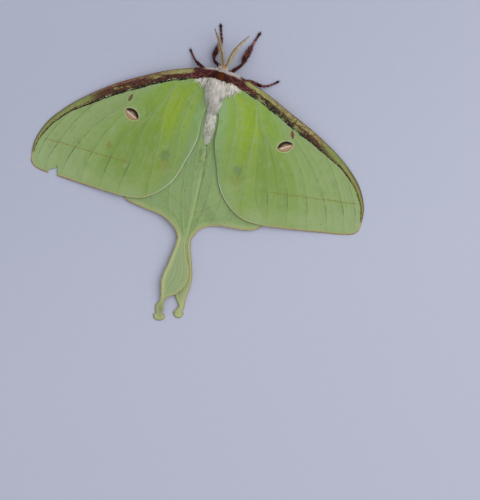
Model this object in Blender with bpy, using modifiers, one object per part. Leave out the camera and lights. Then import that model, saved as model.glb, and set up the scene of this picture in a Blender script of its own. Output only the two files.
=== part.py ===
"""A luna moth at rest with its wings spread flat, as a life-size museum model.

The scene is in metres with +Z up. The moth stands on the floor at Z = 0 with its head towards +Y,
and the origin is on the floor under the middle of its bounding box.

Every size below is in millimetres. Plan positions are (x, y) from the middle of the collar, the
band where the leading edges of the two forewings meet over the body. Wing outlines are written
for the right side, with x counted outwards, and side = -1 turns them into the left wing.
"""

import math

import bmesh
import bpy
import numpy as np
from mathutils import Euler, Matrix, Vector

MM = 0.001
COLLAR_AHEAD = 29.05  # how far the collar is in front of the origin
FLOOR = 0.0
LEFT, RIGHT = -1, 1

WING_THICKNESS = 0.6
JOINT_GAP = 0.3  # the thin cut between two neighbouring sub-parts

# How the spread wings arch from the thorax down to the floor at their tips.
HALF_SPAN = 50.0
ROOT_RISE = 5.2  # height of the forewing root over its tip
ARCH_POWER = 1.4
ARCH_REACH = 52.0
REAR_FALL = 0.42  # share of the rise that is lost over REAR_LENGTH towards the tail
REAR_LENGTH = 40.0
TIP_PRESS = 0.12  # how far the tips would go into the floor: this leaves a small flat there
LAYER_STEP = 1.0  # each wing layer hangs this far below the one over it
CROSSING_STEP = 0.95  # the right hindwing passes this far below the left one at the midline

# Forewing: leading edge, outer edge and inner edge.
FOREWING_COSTA = [(1.5, 1.9), (4.3, 1.75), (8.3, 0.8), (15.4, -1.3), (22.9, -4.6), (30.0, -8.2),
                  (37.4, -13.2), (43.0, -18.0), (47.4, -23.2), (49.7, -28.6), (50.0, -32.6)]
FOREWING_TERMEN = [(50.0, -32.6), (49.5, -35.6), (47.2, -37.2), (39.0, -38.3), (30.0, -39.3),
                   (21.6, -40.1)]
FOREWING_DORSUM = [(1.0, -6.5), (2.4, -13.0), (2.6, -19.2), (4.6, -26.0), (6.9, -32.2),
                   (11.0, -37.0), (15.6, -39.5), (21.6, -40.1)]
COSTA_BOW = {LEFT: 0.0, RIGHT: -1.5}  # the right leading edge is held a little straighter
FOREWING_CELLS = (26, 12)

# A nick torn out of the outer edge of the left forewing: mouth, bottom, mouth.
NICK = [(43.9, -38.6), (44.1, -37.0), (42.1, -34.8), (41.3, -37.4), (41.2, -38.6)]

# Hindwing: front and outer edge as one line down to the tail, and the inner edge.
HINDWING_OUTER = {
    LEFT: [(1.5, -3.6), (11.0, -7.5), (19.5, -17.0), (23.4, -28.0), (23.0, -36.0), (20.2, -40.4),
           (14.5, -42.1), (8.4, -43.3), (4.2, -45.8), (2.3, -48.3)],
    RIGHT: [(1.5, -3.6), (11.0, -7.5), (19.5, -17.0), (23.4, -28.0), (23.2, -36.0), (20.4, -41.0),
            (16.5, -42.4), (9.0, -42.8), (3.9, -44.6), (1.4, -48.3)],
}
HINDWING_INNER = {
    LEFT: [(0.8, -9.0), (1.7, -14.0), (0.4, -18.6), (-0.6, -22.4), (-0.9, -28.0), (-0.8, -41.0), (-0.3, -48.3)],
    RIGHT: [(0.8, -9.0), (1.7, -14.0), (0.4, -18.6), (-0.3, -22.4), (-0.6, -28.0), (-1.0, -41.0), (-1.1, -48.3)],
}
HINDWING_CELLS = (17, 8)

# Tails: (x, y, height, width, roll in degrees) down the middle of each ribbon. x is to the right.
# The ribbon widens to a spoon, pinches to a stalk and ends in a small twisted flag.
TAIL = {
    LEFT: [(-1.0, -48.6, 1.74, 2.6, 0), (-1.0, -51.0, 1.75, 2.9, 0), (-0.75, -55.0, 1.75, 4.9, 0),
           (-0.45, -59.5, 1.75, 7.3, 0), (-1.6, -63.4, 1.75, 6.0, 0), (-2.8, -66.4, 1.6, 1.9, 0),
           (-3.1, -68.2, 1.3, 1.3, 18), (-3.4, -70.2, 1.1, 2.9, 34), (-3.2, -71.7, 0.8, 1.6, 20),
           (-3.1, -73.8, 0.28, 3.5, 0)],
    RIGHT: [(0.15, -48.6, 0.79, 2.5, 0), (0.35, -51.0, 0.79, 2.8, 0), (0.6, -55.0, 0.78, 4.6, 0),
            (1.0, -59.5, 0.75, 6.0, 0), (1.6, -63.2, 0.72, 4.9, 0), (2.3, -66.2, 0.66, 2.6, 0),
            (2.9, -68.6, 0.6, 1.3, -14), (2.4, -70.4, 0.5, 1.9, -20), (2.5, -71.9, 0.28, 2.6, 0)],
}
TAIL_CELLS = (26, 4)

# Body: middle, half length, half width, half height, and how much the rear end narrows.
THORAX = {"middle": (0.35, -3.65, 4.4), "half": (3.95, 5.45, 3.7), "taper": 0.2}
ABDOMEN = {"middle": (0.1, -14.3, 2.75), "half": (2.05, 5.9, 2.0), "taper": 0.25}
ABDOMEN_DROOP = 0.7  # the tip of the abdomen is this much lower than its middle
HEAD = {"middle": (0.85, 1.05, 3.4), "half": (2.0, 1.75, 1.8), "taper": 0.0}
HEAD_TURN = -10.0  # degrees about Z: the moth looks a little to its right
EYE_RADIUS = 0.85
EYE_PLACE = (1.55, 0.85, 0.1)  # from the head's middle, before the head is turned

# Antennae: middle line (x, y, z). Each is a feather-shaped blade that stands nearly on edge.
ANTENNA = {
    LEFT: [(0.45, 2.2, 4.1), (0.0, 4.8, 4.8), (-1.0, 7.4, 5.0), (-2.5, 10.5, 4.7), (-4.4, 13.7, 4.0)],
    RIGHT: [(1.25, 2.2, 4.1), (1.55, 4.7, 4.8), (2.4, 7.9, 5.0), (3.9, 10.6, 4.7), (6.1, 13.6, 4.0)],
}
ANTENNA_WIDTH = 2.6
ANTENNA_STALK = 0.6
ANTENNA_THICKNESS = 0.5
ANTENNA_LEAN = 76.0  # degrees between the blade and the floor
ANTENNA_CELLS = (14, 4)

# Legs: (x, y, height, radius) from the hip to the claws, x to the right.
LEGS = {
    "leg_fore_left": [(-0.2, -0.4, 1.6, 0.6), (-0.4, 2.8, 1.7, 0.55), (-2.6, 4.6, 1.9, 0.5),
                      (-2.9, 6.0, 1.7, 0.7), (-2.6, 7.6, 1.5, 0.75), (-2.1, 9.4, 1.0, 0.5),
                      (-1.7, 10.6, 0.6, 0.42), (-2.2, 12.6, 0.3, 0.36), (-3.1, 15.7, 0.28, 0.42)],
    "leg_fore_right": [(1.8, -0.6, 1.8, 0.7), (3.4, 2.6, 2.0, 0.62), (5.6, 5.1, 1.9, 0.5),
                       (6.0, 6.6, 1.7, 0.8), (6.5, 8.5, 1.4, 0.85), (7.2, 10.9, 0.9, 0.5),
                       (7.7, 12.3, 0.5, 0.42), (8.2, 13.8, 0.3, 0.36), (8.9, 15.7, 0.28, 0.42)],
    "leg_mid_left": [(-2.0, -3.0, 1.8, 0.7), (-4.4, 1.0, 1.9, 0.62), (-7.2, 2.9, 1.7, 0.6),
                     (-8.0, 3.5, 1.4, 0.42), (-8.7, 4.3, 0.8, 0.42), (-9.4, 5.3, 0.4, 0.36),
                     (-10.4, 6.7, 0.28, 0.4)],
    "leg_mid_right": [(2.0, -3.0, 1.8, 0.7), (7.6, 0.6, 1.9, 0.62), (12.4, 0.2, 1.7, 0.6),
                      (13.2, 0.3, 1.4, 0.42), (14.6, 0.8, 0.8, 0.42), (15.9, 1.7, 0.4, 0.36),
                      (17.3, 2.8, 0.28, 0.4)],
    "leg_hind_left": [(-1.6, -6.4, 1.4, 0.6), (-4.4, -8.2, 1.2, 0.55), (-7.0, -9.6, 1.1, 0.5),
                      (-8.4, -12.0, 0.8, 0.55), (-9.4, -15.0, 0.45, 0.45), (-10.2, -17.4, 0.3, 0.36),
                      (-11.0, -20.2, 0.28, 0.38)],
    "leg_hind_right": [(1.6, -6.4, 1.4, 0.6), (4.4, -8.2, 1.2, 0.55), (7.0, -9.6, 1.1, 0.5),
                       (8.4, -12.0, 0.8, 0.55), (9.4, -15.0, 0.45, 0.45), (10.2, -17.4, 0.3, 0.36),
                       (11.0, -20.2, 0.28, 0.38)],
}

WING_GREEN = (0.42, 0.62, 0.30)
FUR_WHITE = (0.80, 0.78, 0.74)
LEG_MAROON = (0.16, 0.03, 0.03)
ANTENNA_TAN = (0.50, 0.38, 0.17)
EYE_BLACK = (0.01, 0.01, 0.01)


# ---------------------------------------------------------------- scene, materials, small tools


def clear_scene():
    for obj in list(bpy.data.objects):
        bpy.data.objects.remove(obj, do_unlink=True)


def new_collection(name):
    collection = bpy.data.collections.new(name)
    bpy.context.scene.collection.children.link(collection)
    return collection


def new_material(name, colour, roughness):
    material = bpy.data.materials.new(name)
    material.use_nodes = True
    shader = material.node_tree.nodes["Principled BSDF"]
    shader.inputs["Base Color"].default_value = (*colour, 1.0)
    shader.inputs["Roughness"].default_value = roughness
    shader.inputs["Metallic"].default_value = 0.0
    return material


def add_object(name, mesh, collection, material=None):
    obj = bpy.data.objects.new(name, mesh)
    if material:
        mesh.materials.append(material)
    collection.objects.link(obj)
    return obj


def mesh_from(bm, name):
    """The bmesh as a mesh in metres, moved from the collar's frame to the origin's."""
    bmesh.ops.recalc_face_normals(bm, faces=bm.faces[:])
    bmesh.ops.transform(bm, matrix=collar_to_world(), verts=bm.verts[:])
    mesh = bpy.data.meshes.new(name)
    bm.to_mesh(mesh)
    bm.free()
    mesh.shade_smooth()
    mesh.set_sharp_from_angle(angle=math.radians(50))
    return mesh


def collar_to_world():
    return Matrix.Scale(MM, 4) @ Matrix.Translation((0.0, COLLAR_AHEAD, 0.0))


def smooth_line(points, count):
    """count points, evenly spaced, on the smooth curve that passes through the given points."""
    points = np.array(points, float)
    ahead = np.vstack([points[1:], points[-1:]])
    behind = np.vstack([points[:1], points[:-1]])
    tangents = ahead - behind
    tangents /= np.linalg.norm(tangents[:, :2], axis=1)[:, None]
    t = np.linspace(0.0, 1.0, 24)[:, None]
    pieces = []
    for i in range(len(points) - 1):
        a, d = points[i], points[i + 1]
        third = np.linalg.norm((d - a)[:2]) / 3
        b, c = a + tangents[i] * third, d - tangents[i + 1] * third
        pieces.append((1 - t) ** 3 * a + 3 * (1 - t) ** 2 * t * b + 3 * (1 - t) * t**2 * c + t**3 * d)
    line = np.vstack(pieces)
    steps = np.linalg.norm(np.diff(line[:, :2], axis=0), axis=1)
    run = np.concatenate([[0.0], np.cumsum(steps)])
    at = np.linspace(0.0, run[-1], count)
    return np.stack([np.interp(at, run, line[:, k]) for k in range(line.shape[1])], axis=1)


def straight_line(start, end, count):
    return np.linspace(np.array(start, float), np.array(end, float), count)


def smoothstep(low, high, value):
    t = min(max((value - low) / (high - low), 0.0), 1.0)
    return t * t * (3 - 2 * t)


# ---------------------------------------------------------------- wings


def forewing_height(x, y):
    """Height of a forewing's middle surface over the plan point (x, y)."""
    out = min(abs(x) / ARCH_REACH, 1.0)
    back = max(-y / REAR_LENGTH, 0.0)
    rise = ROOT_RISE * (1 - out) ** ARCH_POWER * (1 - REAR_FALL * back)
    return max(rise - TIP_PRESS, 0.0) + WING_THICKNESS / 2


def hindwing_height(x, y, side):
    """A hindwing hangs one layer below the forewing. At the midline the right one dips under the left."""
    crossing = smoothstep(-12.0, -20.0, y) * smoothstep(14.0, 5.0, abs(x))
    drop = LAYER_STEP + (CROSSING_STEP * crossing if side == RIGHT else 0.0)
    return max(forewing_height(x, y) - drop, WING_THICKNESS / 2)


def four_sided_patch(front, rear, root, tip):
    """Fills the space between four edge lines: front and rear run outwards, root and tip run back."""
    u = np.linspace(0, 1, len(front))[:, None, None]
    v = np.linspace(0, 1, len(root))[None, :, None]
    across = (1 - v) * front[:, None] + v * rear[:, None]
    along = (1 - u) * root[None] + u * tip[None]
    corners = ((1 - u) * (1 - v) * front[0] + (1 - u) * v * rear[0]
               + u * (1 - v) * front[-1] + u * v * rear[-1])
    return across + along - corners


def surface_grid(points):
    """An open sheet of quads whose vertices are points[i, j]."""
    rows, columns = points.shape[:2]
    bm = bmesh.new()
    bmesh.ops.create_grid(bm, x_segments=rows - 1, y_segments=columns - 1, size=1.0)
    for vertex in bm.verts:
        i = round((vertex.co.x + 1) / 2 * (rows - 1))
        j = round((vertex.co.y + 1) / 2 * (columns - 1))
        vertex.co = Vector(points[i, j])
    return bm


def sheet_solid(name, points, thickness, parts, material):
    """A closed plate of this thickness around the sheet, with whatever would enter the floor pressed flat."""
    mesh = mesh_from(surface_grid(points), name + "_sheet")
    sheet = add_object(name + "_sheet", mesh, parts)
    wall = sheet.modifiers.new("Thickness", "SOLIDIFY")
    wall.thickness = thickness * MM
    wall.offset = 0.0
    solid = bake_mesh(sheet, name)
    for vertex in solid.vertices:
        vertex.co.z = max(vertex.co.z, FLOOR)
    return add_object(name, solid, parts, material)


def bake_mesh(obj, name):
    """The object's evaluated mesh, closed and facing outwards. The object itself is removed."""
    bpy.context.view_layer.update()
    graph = bpy.context.evaluated_depsgraph_get()
    baked = bpy.data.meshes.new_from_object(obj.evaluated_get(graph))
    baked.transform(obj.matrix_world)
    baked.name = name
    bm = bmesh.new()
    bm.from_mesh(baked)
    bmesh.ops.remove_doubles(bm, verts=bm.verts[:], dist=1e-6)
    bmesh.ops.recalc_face_normals(bm, faces=bm.faces[:])
    bm.to_mesh(baked)
    bm.free()
    bpy.data.objects.remove(obj, do_unlink=True)
    return baked


def bowed(points, side):
    """The leading edge with this side's own arch, greatest halfway along it."""
    return [(x, y + COSTA_BOW[side] * math.sin(math.pi * min(x / HALF_SPAN, 1.0)) ** 2) for x, y in points]


def raise_plan(plan, side, height):
    """Plan points counted outwards become (x, y, z) points with x to the right."""
    lifted = np.zeros((*plan.shape[:2], 3))
    for i, j in np.ndindex(plan.shape[:2]):
        x, y = plan[i, j, 0] * side, plan[i, j, 1]
        lifted[i, j] = (x, y, height(x, y))
    return lifted


def build_forewing(side, parts, material):
    rows, columns = FOREWING_CELLS[0] + 1, FOREWING_CELLS[1] + 1
    costa = smooth_line(bowed(FOREWING_COSTA, side), rows)
    dorsum = smooth_line(FOREWING_DORSUM, rows)
    termen = smooth_line(FOREWING_TERMEN, columns)
    root = straight_line(costa[0], dorsum[0], columns)
    plan = four_sided_patch(costa, dorsum, root, termen)
    name = "forewing_left" if side == LEFT else "forewing_right"
    return sheet_solid(name, raise_plan(plan, side, forewing_height), WING_THICKNESS, parts, material)


def build_hindwing(side, parts, material):
    rows, columns = HINDWING_CELLS[0] + 1, HINDWING_CELLS[1] + 1
    outer = smooth_line(HINDWING_OUTER[side], rows)
    inner = smooth_line(HINDWING_INNER[side], rows)
    root = straight_line(outer[0], inner[0], columns)
    neck = straight_line(outer[-1], inner[-1], columns)
    plan = four_sided_patch(outer, inner, root, neck)
    name = "hindwing_left" if side == LEFT else "hindwing_right"
    points = raise_plan(plan, side, lambda x, y: hindwing_height(x, y, side))
    return sheet_solid(name, points, WING_THICKNESS, parts, material)


def ribbon(stations, cells, lean=0.0):
    """Sheet points of a ribbon whose stations are (x, y, z, width, roll in degrees)."""
    rows, columns = cells[0] + 1, cells[1] + 1
    line = smooth_line(stations, rows)
    ahead = np.gradient(line[:, :2], axis=0)
    ahead /= np.linalg.norm(ahead, axis=1)[:, None]
    points = np.zeros((rows, columns, 3))
    for i in range(rows):
        roll = math.radians(line[i, 4] + lean)
        sideways = np.array([-ahead[i, 1] * math.cos(roll), ahead[i, 0] * math.cos(roll), math.sin(roll)])
        for j, share in enumerate(np.linspace(-0.5, 0.5, columns)):
            points[i, j] = line[i, :3] + sideways * share * line[i, 3]
    return points


def build_tail(side, parts, material):
    name = "tail_left" if side == LEFT else "tail_right"
    return sheet_solid(name, ribbon(TAIL[side], TAIL_CELLS), WING_THICKNESS, parts, material)


def cut_nick(wing, cutters):
    """Tears the little notch out of the left forewing with an upright prism."""
    outline = bpy.data.curves.new("nick_outline", "CURVE")
    outline.dimensions = "2D"
    outline.fill_mode = "BOTH"
    outline.extrude = 3 * MM
    spline = outline.splines.new("POLY")
    spline.points.add(len(NICK) - 1)
    for point, (x, y) in zip(spline.points, NICK):
        point.co = (LEFT * x * MM, (y + COLLAR_AHEAD) * MM, 0.0, 1.0)
    spline.use_cyclic_u = True
    guide = bpy.data.objects.new("nick_guide", outline)
    cutters.objects.link(guide)
    cutter = add_object("nick_cutter", bake_mesh(guide, "nick_cutter"), cutters)
    hide(cutter)
    subtract(wing, cutter)


# ---------------------------------------------------------------- body, head, legs


def pod(form, grow=0.0, droop=0.0, segments=(20, 12)):
    """A bmesh egg along Y: form gives its middle, half sizes and taper. grow adds to every half size."""
    bm = bmesh.new()
    bmesh.ops.create_uvsphere(bm, u_segments=segments[0], v_segments=segments[1], radius=1.0)
    bmesh.ops.rotate(bm, matrix=Euler((math.radians(90), 0, 0)).to_matrix(), verts=bm.verts[:])
    wide, long, tall = (half + grow for half in form["half"])
    for vertex in bm.verts:
        forward = vertex.co.y
        swell = 1 + form["taper"] * forward
        vertex.co.x *= wide * swell
        vertex.co.z = vertex.co.z * tall * swell + droop * forward
        vertex.co.y *= long
    bmesh.ops.translate(bm, vec=form["middle"], verts=bm.verts[:])
    return bm


def head_frame():
    middle = Vector(HEAD["middle"])
    return Matrix.Translation(middle) @ Matrix.Rotation(math.radians(HEAD_TURN), 4, "Z")


def head_bmesh(grow=0.0):
    bm = pod({**HEAD, "middle": (0, 0, 0)}, grow, segments=(16, 10))
    bmesh.ops.transform(bm, matrix=head_frame(), verts=bm.verts[:])
    return bm


def eye_bmesh(side, grow=0.0):
    bm = bmesh.new()
    bmesh.ops.create_uvsphere(bm, u_segments=12, v_segments=8, radius=EYE_RADIUS + grow)
    x, y, z = EYE_PLACE
    place = head_frame() @ Matrix.Translation((side * x, y, z))
    bmesh.ops.transform(bm, matrix=place, verts=bm.verts[:])
    return bm


def build_antenna(side, parts, material):
    """A blade that is a thin stalk at the head, widest a third of the way out, and pointed at its end."""
    name = "antenna_left" if side == LEFT else "antenna_right"
    rows = 9
    line = smooth_line(ANTENNA[side], rows)
    stations = []
    for share, (x, y, z) in zip(np.linspace(0, 1, rows), line):
        feather = math.sin(math.pi * min(share * 1.02, 1.0) ** 0.6)
        stations.append((x, y, z, max(ANTENNA_WIDTH * feather, ANTENNA_STALK), 0.0))
    points = ribbon(stations, ANTENNA_CELLS, lean=side * ANTENNA_LEAN)
    return sheet_solid(name, points, ANTENNA_THICKNESS, parts, material)


def build_leg(name, stations, parts, material):
    """A tapering tube from hip to claws. Where the foot would enter the floor it is pressed flat."""
    curve = bpy.data.curves.new(name + "_line", "CURVE")
    curve.dimensions = "3D"
    curve.bevel_depth = MM
    curve.bevel_resolution = 2
    curve.use_fill_caps = True
    line = smooth_line(stations, 2 * len(stations) - 1)
    spline = curve.splines.new("POLY")
    spline.points.add(len(line) - 1)
    for point, (x, y, z, radius) in zip(spline.points, line):
        point.co = (x * MM, (y + COLLAR_AHEAD) * MM, z * MM, 1.0)
        point.radius = radius
    guide = bpy.data.objects.new(name + "_line", curve)
    parts.objects.link(guide)
    mesh = bake_mesh(guide, name)
    for vertex in mesh.vertices:
        vertex.co.z = max(vertex.co.z, FLOOR)
    return add_object(name, mesh, parts, material)


# ---------------------------------------------------------------- clearances


def hide(obj):
    obj.hide_render = True
    obj.display_type = "WIRE"


def subtract(obj, cutter):
    """Cuts the cutter's shape out of the object, so that a thin gap is left between two sub-parts."""
    cut = obj.modifiers.new("Clear_" + cutter.name, "BOOLEAN")
    cut.operation = "DIFFERENCE"
    cut.solver = "EXACT"
    cut.object = cutter


def clearance(name, bm, cutters):
    cutter = add_object(name, mesh_from(bm, name), cutters)
    hide(cutter)
    return cutter


def main():
    clear_scene()
    parts = new_collection("luna_moth")
    cutters = new_collection("cutters")
    green = new_material("wing_green", WING_GREEN, 0.75)
    white = new_material("body_fur", FUR_WHITE, 0.9)
    maroon = new_material("leg_maroon", LEG_MAROON, 0.6)
    tan = new_material("antenna_tan", ANTENNA_TAN, 0.7)
    black = new_material("eye_black", EYE_BLACK, 0.15)

    add_object("thorax", mesh_from(pod(THORAX), "thorax"), parts, white)
    head = add_object("head", mesh_from(head_bmesh(), "head"), parts, white)
    abdomen = add_object("abdomen", mesh_from(pod(ABDOMEN, droop=ABDOMEN_DROOP), "abdomen"), parts, white)
    around_thorax = clearance("around_thorax", pod(THORAX, JOINT_GAP), cutters)
    around_head = clearance("around_head", head_bmesh(JOINT_GAP), cutters)
    around_abdomen = clearance("around_abdomen", pod(ABDOMEN, JOINT_GAP, ABDOMEN_DROOP), cutters)
    subtract(head, around_thorax)
    subtract(abdomen, around_thorax)

    for side, word in ((LEFT, "left"), (RIGHT, "right")):
        eye = add_object("eye_" + word, mesh_from(eye_bmesh(side), "eye_" + word), parts, black)
        subtract(eye, around_thorax)
        subtract(head, clearance("around_eye_" + word, eye_bmesh(side, JOINT_GAP), cutters))
        subtract(build_antenna(side, parts, tan), around_head)
        forewing = build_forewing(side, parts, green)
        hindwing = build_hindwing(side, parts, green)
        build_tail(side, parts, green)
        for wing in (forewing, hindwing):
            subtract(wing, around_thorax)
            subtract(wing, around_abdomen)
        if side == LEFT:
            cut_nick(forewing, cutters)

    for name, stations in LEGS.items():
        leg = build_leg(name, stations, parts, maroon)
        subtract(leg, around_thorax)
        subtract(leg, around_head)


main()
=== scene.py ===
# %% [markdown]
# # A luna moth, finished
#
# The frame holds the solid model: where each wing, leg and feeler is, and how far it reaches. This lesson
# gives the moth its looks. Every piece is made at its real size in metres, with its place in its mesh,
# and rides on the frame's one body. We work in millimetres from the collar, the dark band where the two
# front wings meet, because that is how someone measures a pinned moth, and turn the numbers into metres
# in one function.

# %% Load the frame
import math

import bmesh
import bpy
import numpy as np
from mathutils import Matrix, Vector


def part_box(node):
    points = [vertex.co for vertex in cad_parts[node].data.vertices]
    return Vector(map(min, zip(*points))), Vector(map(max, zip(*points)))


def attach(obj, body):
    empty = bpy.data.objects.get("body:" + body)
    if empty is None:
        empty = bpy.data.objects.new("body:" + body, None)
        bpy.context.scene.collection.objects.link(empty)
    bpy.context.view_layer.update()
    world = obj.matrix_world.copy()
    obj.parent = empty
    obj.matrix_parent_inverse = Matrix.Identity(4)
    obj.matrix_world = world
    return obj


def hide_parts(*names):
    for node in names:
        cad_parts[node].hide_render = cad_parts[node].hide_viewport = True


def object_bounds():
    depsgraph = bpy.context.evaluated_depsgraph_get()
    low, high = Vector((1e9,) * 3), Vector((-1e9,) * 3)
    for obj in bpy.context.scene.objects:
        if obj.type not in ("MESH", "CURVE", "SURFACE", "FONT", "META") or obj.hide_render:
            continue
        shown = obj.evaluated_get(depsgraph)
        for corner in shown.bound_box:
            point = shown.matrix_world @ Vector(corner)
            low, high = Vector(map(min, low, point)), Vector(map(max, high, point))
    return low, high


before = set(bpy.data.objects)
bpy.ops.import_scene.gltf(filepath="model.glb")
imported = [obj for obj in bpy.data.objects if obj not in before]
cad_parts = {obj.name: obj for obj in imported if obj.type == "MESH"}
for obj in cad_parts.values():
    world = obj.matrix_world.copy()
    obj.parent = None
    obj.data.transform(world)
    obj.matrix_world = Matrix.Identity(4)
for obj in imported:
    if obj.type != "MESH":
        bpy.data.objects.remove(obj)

MM = 0.001
LEFT, RIGHT = -1, 1
SIDE_WORD = {LEFT: "left", RIGHT: "right"}
FEET_AHEAD = 15.85  # mm from the collar to the tips of the front feet, the foremost point of the frame
cad_low, cad_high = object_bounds()
collar_y = cad_high.y / MM - FEET_AHEAD


def to_metres(points):
    """Points in mm from the collar, as metres in the frame."""
    return (np.asarray(points, float) + (0.0, collar_y, 0.0)) * MM


print("frame", [round(side / MM, 1) for side in cad_high - cad_low], "mm")

# %% [markdown]
# ## Smooth lines
#
# Wing edges, veins, feelers and legs are all smooth lines through a few points. One helper draws them: it
# puts a cubic between each two points, with the tangent at a point set by its neighbours, and then walks
# along the line in even steps. Even steps matter, because the grid of a wing is hung between such lines.


# %% A smooth line through points
def smooth_line(points, count):
    """count points, evenly spaced, on the smooth curve that passes through the given points."""
    points = np.array(points, float)
    ahead = np.vstack([points[1:], points[-1:]])
    behind = np.vstack([points[:1], points[:-1]])
    tangents = ahead - behind
    tangents /= np.linalg.norm(tangents[:, :2], axis=1)[:, None]
    t = np.linspace(0.0, 1.0, 24)[:, None]
    pieces = []
    for i in range(len(points) - 1):
        a, d = points[i], points[i + 1]
        third = np.linalg.norm((d - a)[:2]) / 3
        b, c = a + tangents[i] * third, d - tangents[i + 1] * third
        pieces.append((1 - t) ** 3 * a + 3 * (1 - t) ** 2 * t * b + 3 * (1 - t) * t**2 * c + t**3 * d)
    line = np.vstack(pieces)
    steps = np.linalg.norm(np.diff(line[:, :2], axis=0), axis=1)
    run = np.concatenate([[0.0], np.cumsum(steps)])
    at = np.linspace(0.0, run[-1], count)
    return np.stack([np.interp(at, run, line[:, k]) for k in range(line.shape[1])], axis=1)


def smoothstep(low, high, value):
    t = np.clip((np.asarray(value, float) - low) / (high - low), 0.0, 1.0)
    return t * t * (3 - 2 * t)


def distance_to_line(points, line):
    """Plan distance in mm from each point to the nearest place on the line."""
    flat = np.asarray(points, float)[..., :2].reshape(-1, 2)
    line = np.asarray(line, float)[:, :2]
    nearest = np.full(len(flat), 1e9)
    for a, b in zip(line[:-1], line[1:]):
        along = b - a
        share = np.clip(((flat - a) @ along) / max(along @ along, 1e-12), 0.0, 1.0)
        nearest = np.minimum(nearest, np.linalg.norm(flat - a - share[:, None] * along, axis=1))
    return nearest.reshape(np.asarray(points).shape[:-1])


test_line = smooth_line([(0.0, 0.0), (5.0, 3.0), (10.0, 0.0)], 5)
print("a test line:", test_line.round(1).tolist())

# %% [markdown]
# ## The shape of the wings
#
# A luna moth's forewing has a long curved leading edge, the costa, a straight outer edge and a curved
# inner edge. The hindwing narrows to a tail. The forewing is drawn once, with x counted outwards, and
# each side takes its own small bow. The hindwings overlap, so each has its own outline. The wings arch
# down from the thorax and touch the floor at their tips.

# %% Wing outlines
FOREWING_COSTA = [(1.5, 1.9), (4.3, 1.75), (8.3, 0.8), (15.4, -1.3), (22.9, -4.6), (30.0, -8.2),
                  (37.4, -13.2), (43.0, -18.0), (47.4, -23.2), (49.7, -28.6), (50.0, -32.6)]
FOREWING_TERMEN = [(50.0, -32.6), (49.5, -35.6), (47.2, -37.2), (39.0, -38.3), (30.0, -39.3), (21.6, -40.1)]
FOREWING_DORSUM = [(1.0, -6.5), (2.4, -13.0), (2.6, -19.2), (4.6, -26.0), (6.9, -32.2), (11.0, -37.0),
                   (15.6, -39.5), (21.6, -40.1)]
COSTA_BOW = {LEFT: 0.0, RIGHT: -1.5}
ROOT_INWARD = {LEFT: 0.8, RIGHT: 0.0}  # mm further in, so that the left wing meets the face
HALF_SPAN = cad_high.x / MM
# The nick in the left wing's outer edge.
NICK = [(-43.9, -38.6), (-44.1, -37.0), (-42.1, -36.1), (-42.0, -34.8), (-41.3, -37.4), (-41.2, -38.6)]

HINDWING_OUTER = {
    LEFT: [(1.5, -3.6), (11.0, -7.5), (19.5, -17.0), (23.4, -28.0), (23.0, -36.0), (20.2, -40.4),
           (14.5, -42.1), (8.4, -43.3), (4.2, -45.8), (2.3, -48.3)],
    RIGHT: [(1.5, -3.6), (11.0, -7.5), (19.5, -17.0), (23.4, -28.0), (23.2, -36.0), (20.4, -41.0),
            (16.5, -42.4), (9.0, -42.8), (3.9, -44.6), (1.4, -48.3)],
}
HINDWING_INNER = {
    LEFT: [(0.8, -9.0), (1.7, -14.0), (0.4, -18.6), (-0.6, -22.4), (-0.9, -28.0), (-0.8, -41.0),
           (-0.3, -48.3)],
    RIGHT: [(0.8, -9.0), (1.7, -14.0), (0.4, -18.6), (-0.3, -22.4), (-0.6, -28.0), (-1.0, -41.0),
            (-1.1, -48.3)],
}
# The tails: x to the right, y, height, width, and roll in degrees.
TAIL = {
    LEFT: [(-1.0, -48.6, 1.74, 2.6, 0), (-1.0, -51.0, 1.75, 2.9, 0), (-0.75, -55.0, 1.75, 4.9, 0),
           (-0.45, -59.5, 1.75, 7.3, 0), (-1.6, -63.4, 1.75, 6.0, 0), (-2.8, -66.4, 1.6, 1.9, 0),
           (-3.1, -68.2, 1.3, 1.3, 18), (-3.4, -70.2, 1.1, 2.9, 34), (-3.2, -71.7, 0.8, 1.6, 20),
           (-3.1, -73.8, 0.28, 3.5, 0)],
    RIGHT: [(0.15, -48.6, 0.79, 2.5, 0), (0.35, -51.0, 0.79, 2.8, 0), (0.6, -55.0, 0.78, 4.6, 0),
            (1.0, -59.5, 0.75, 6.0, 0), (1.6, -63.2, 0.72, 4.9, 0), (2.3, -66.2, 0.66, 2.6, 0),
            (2.9, -68.6, 0.6, 1.3, -14), (2.4, -70.4, 0.5, 1.9, -20), (2.5, -71.9, 0.28, 2.6, 0)],
}
print("the left tail ends", -TAIL[LEFT][-1][1], "mm behind the collar")


# %% How high the wings lie
ROOT_HEIGHT, MARGIN_HEIGHT = 5.2, 0.3  # mm above the floor
ARCH_SPAN, ARCH_DEPTH = 52.0, 40.0  # mm outwards and backwards in which the arch comes down
HINDWING_DROP = 1.0  # mm from a forewing down to the hindwing under it
CROSSING_DROP = 0.95  # mm more, where the right hindwing lies under the left one


def forewing_height(x, y):
    out = np.clip(np.abs(x) / ARCH_SPAN, 0.0, 1.0)
    back = np.clip(-y / ARCH_DEPTH, 0.0, None)
    rise = ROOT_HEIGHT * (1 - out) ** 1.4 * (1 - 0.42 * back)
    return np.maximum(rise - 0.12, 0.0) + MARGIN_HEIGHT


def hindwing_height(x, y, side):
    """Just under the forewing. Near the tails it comes closer, and the right one dips under the left."""
    edge = 4.5 + 9.5 * smoothstep(-36.0, -46.0, y)
    crossing = smoothstep(-12.0, -20.0, y) * smoothstep(edge, edge * 0.36, x)
    close = 0.36 * smoothstep(-46.0, -34.0, y)
    under = (CROSSING_DROP - close) * crossing if side == RIGHT else 0.0
    return np.maximum(forewing_height(x, y) - (HINDWING_DROP - close + under), MARGIN_HEIGHT)


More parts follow.
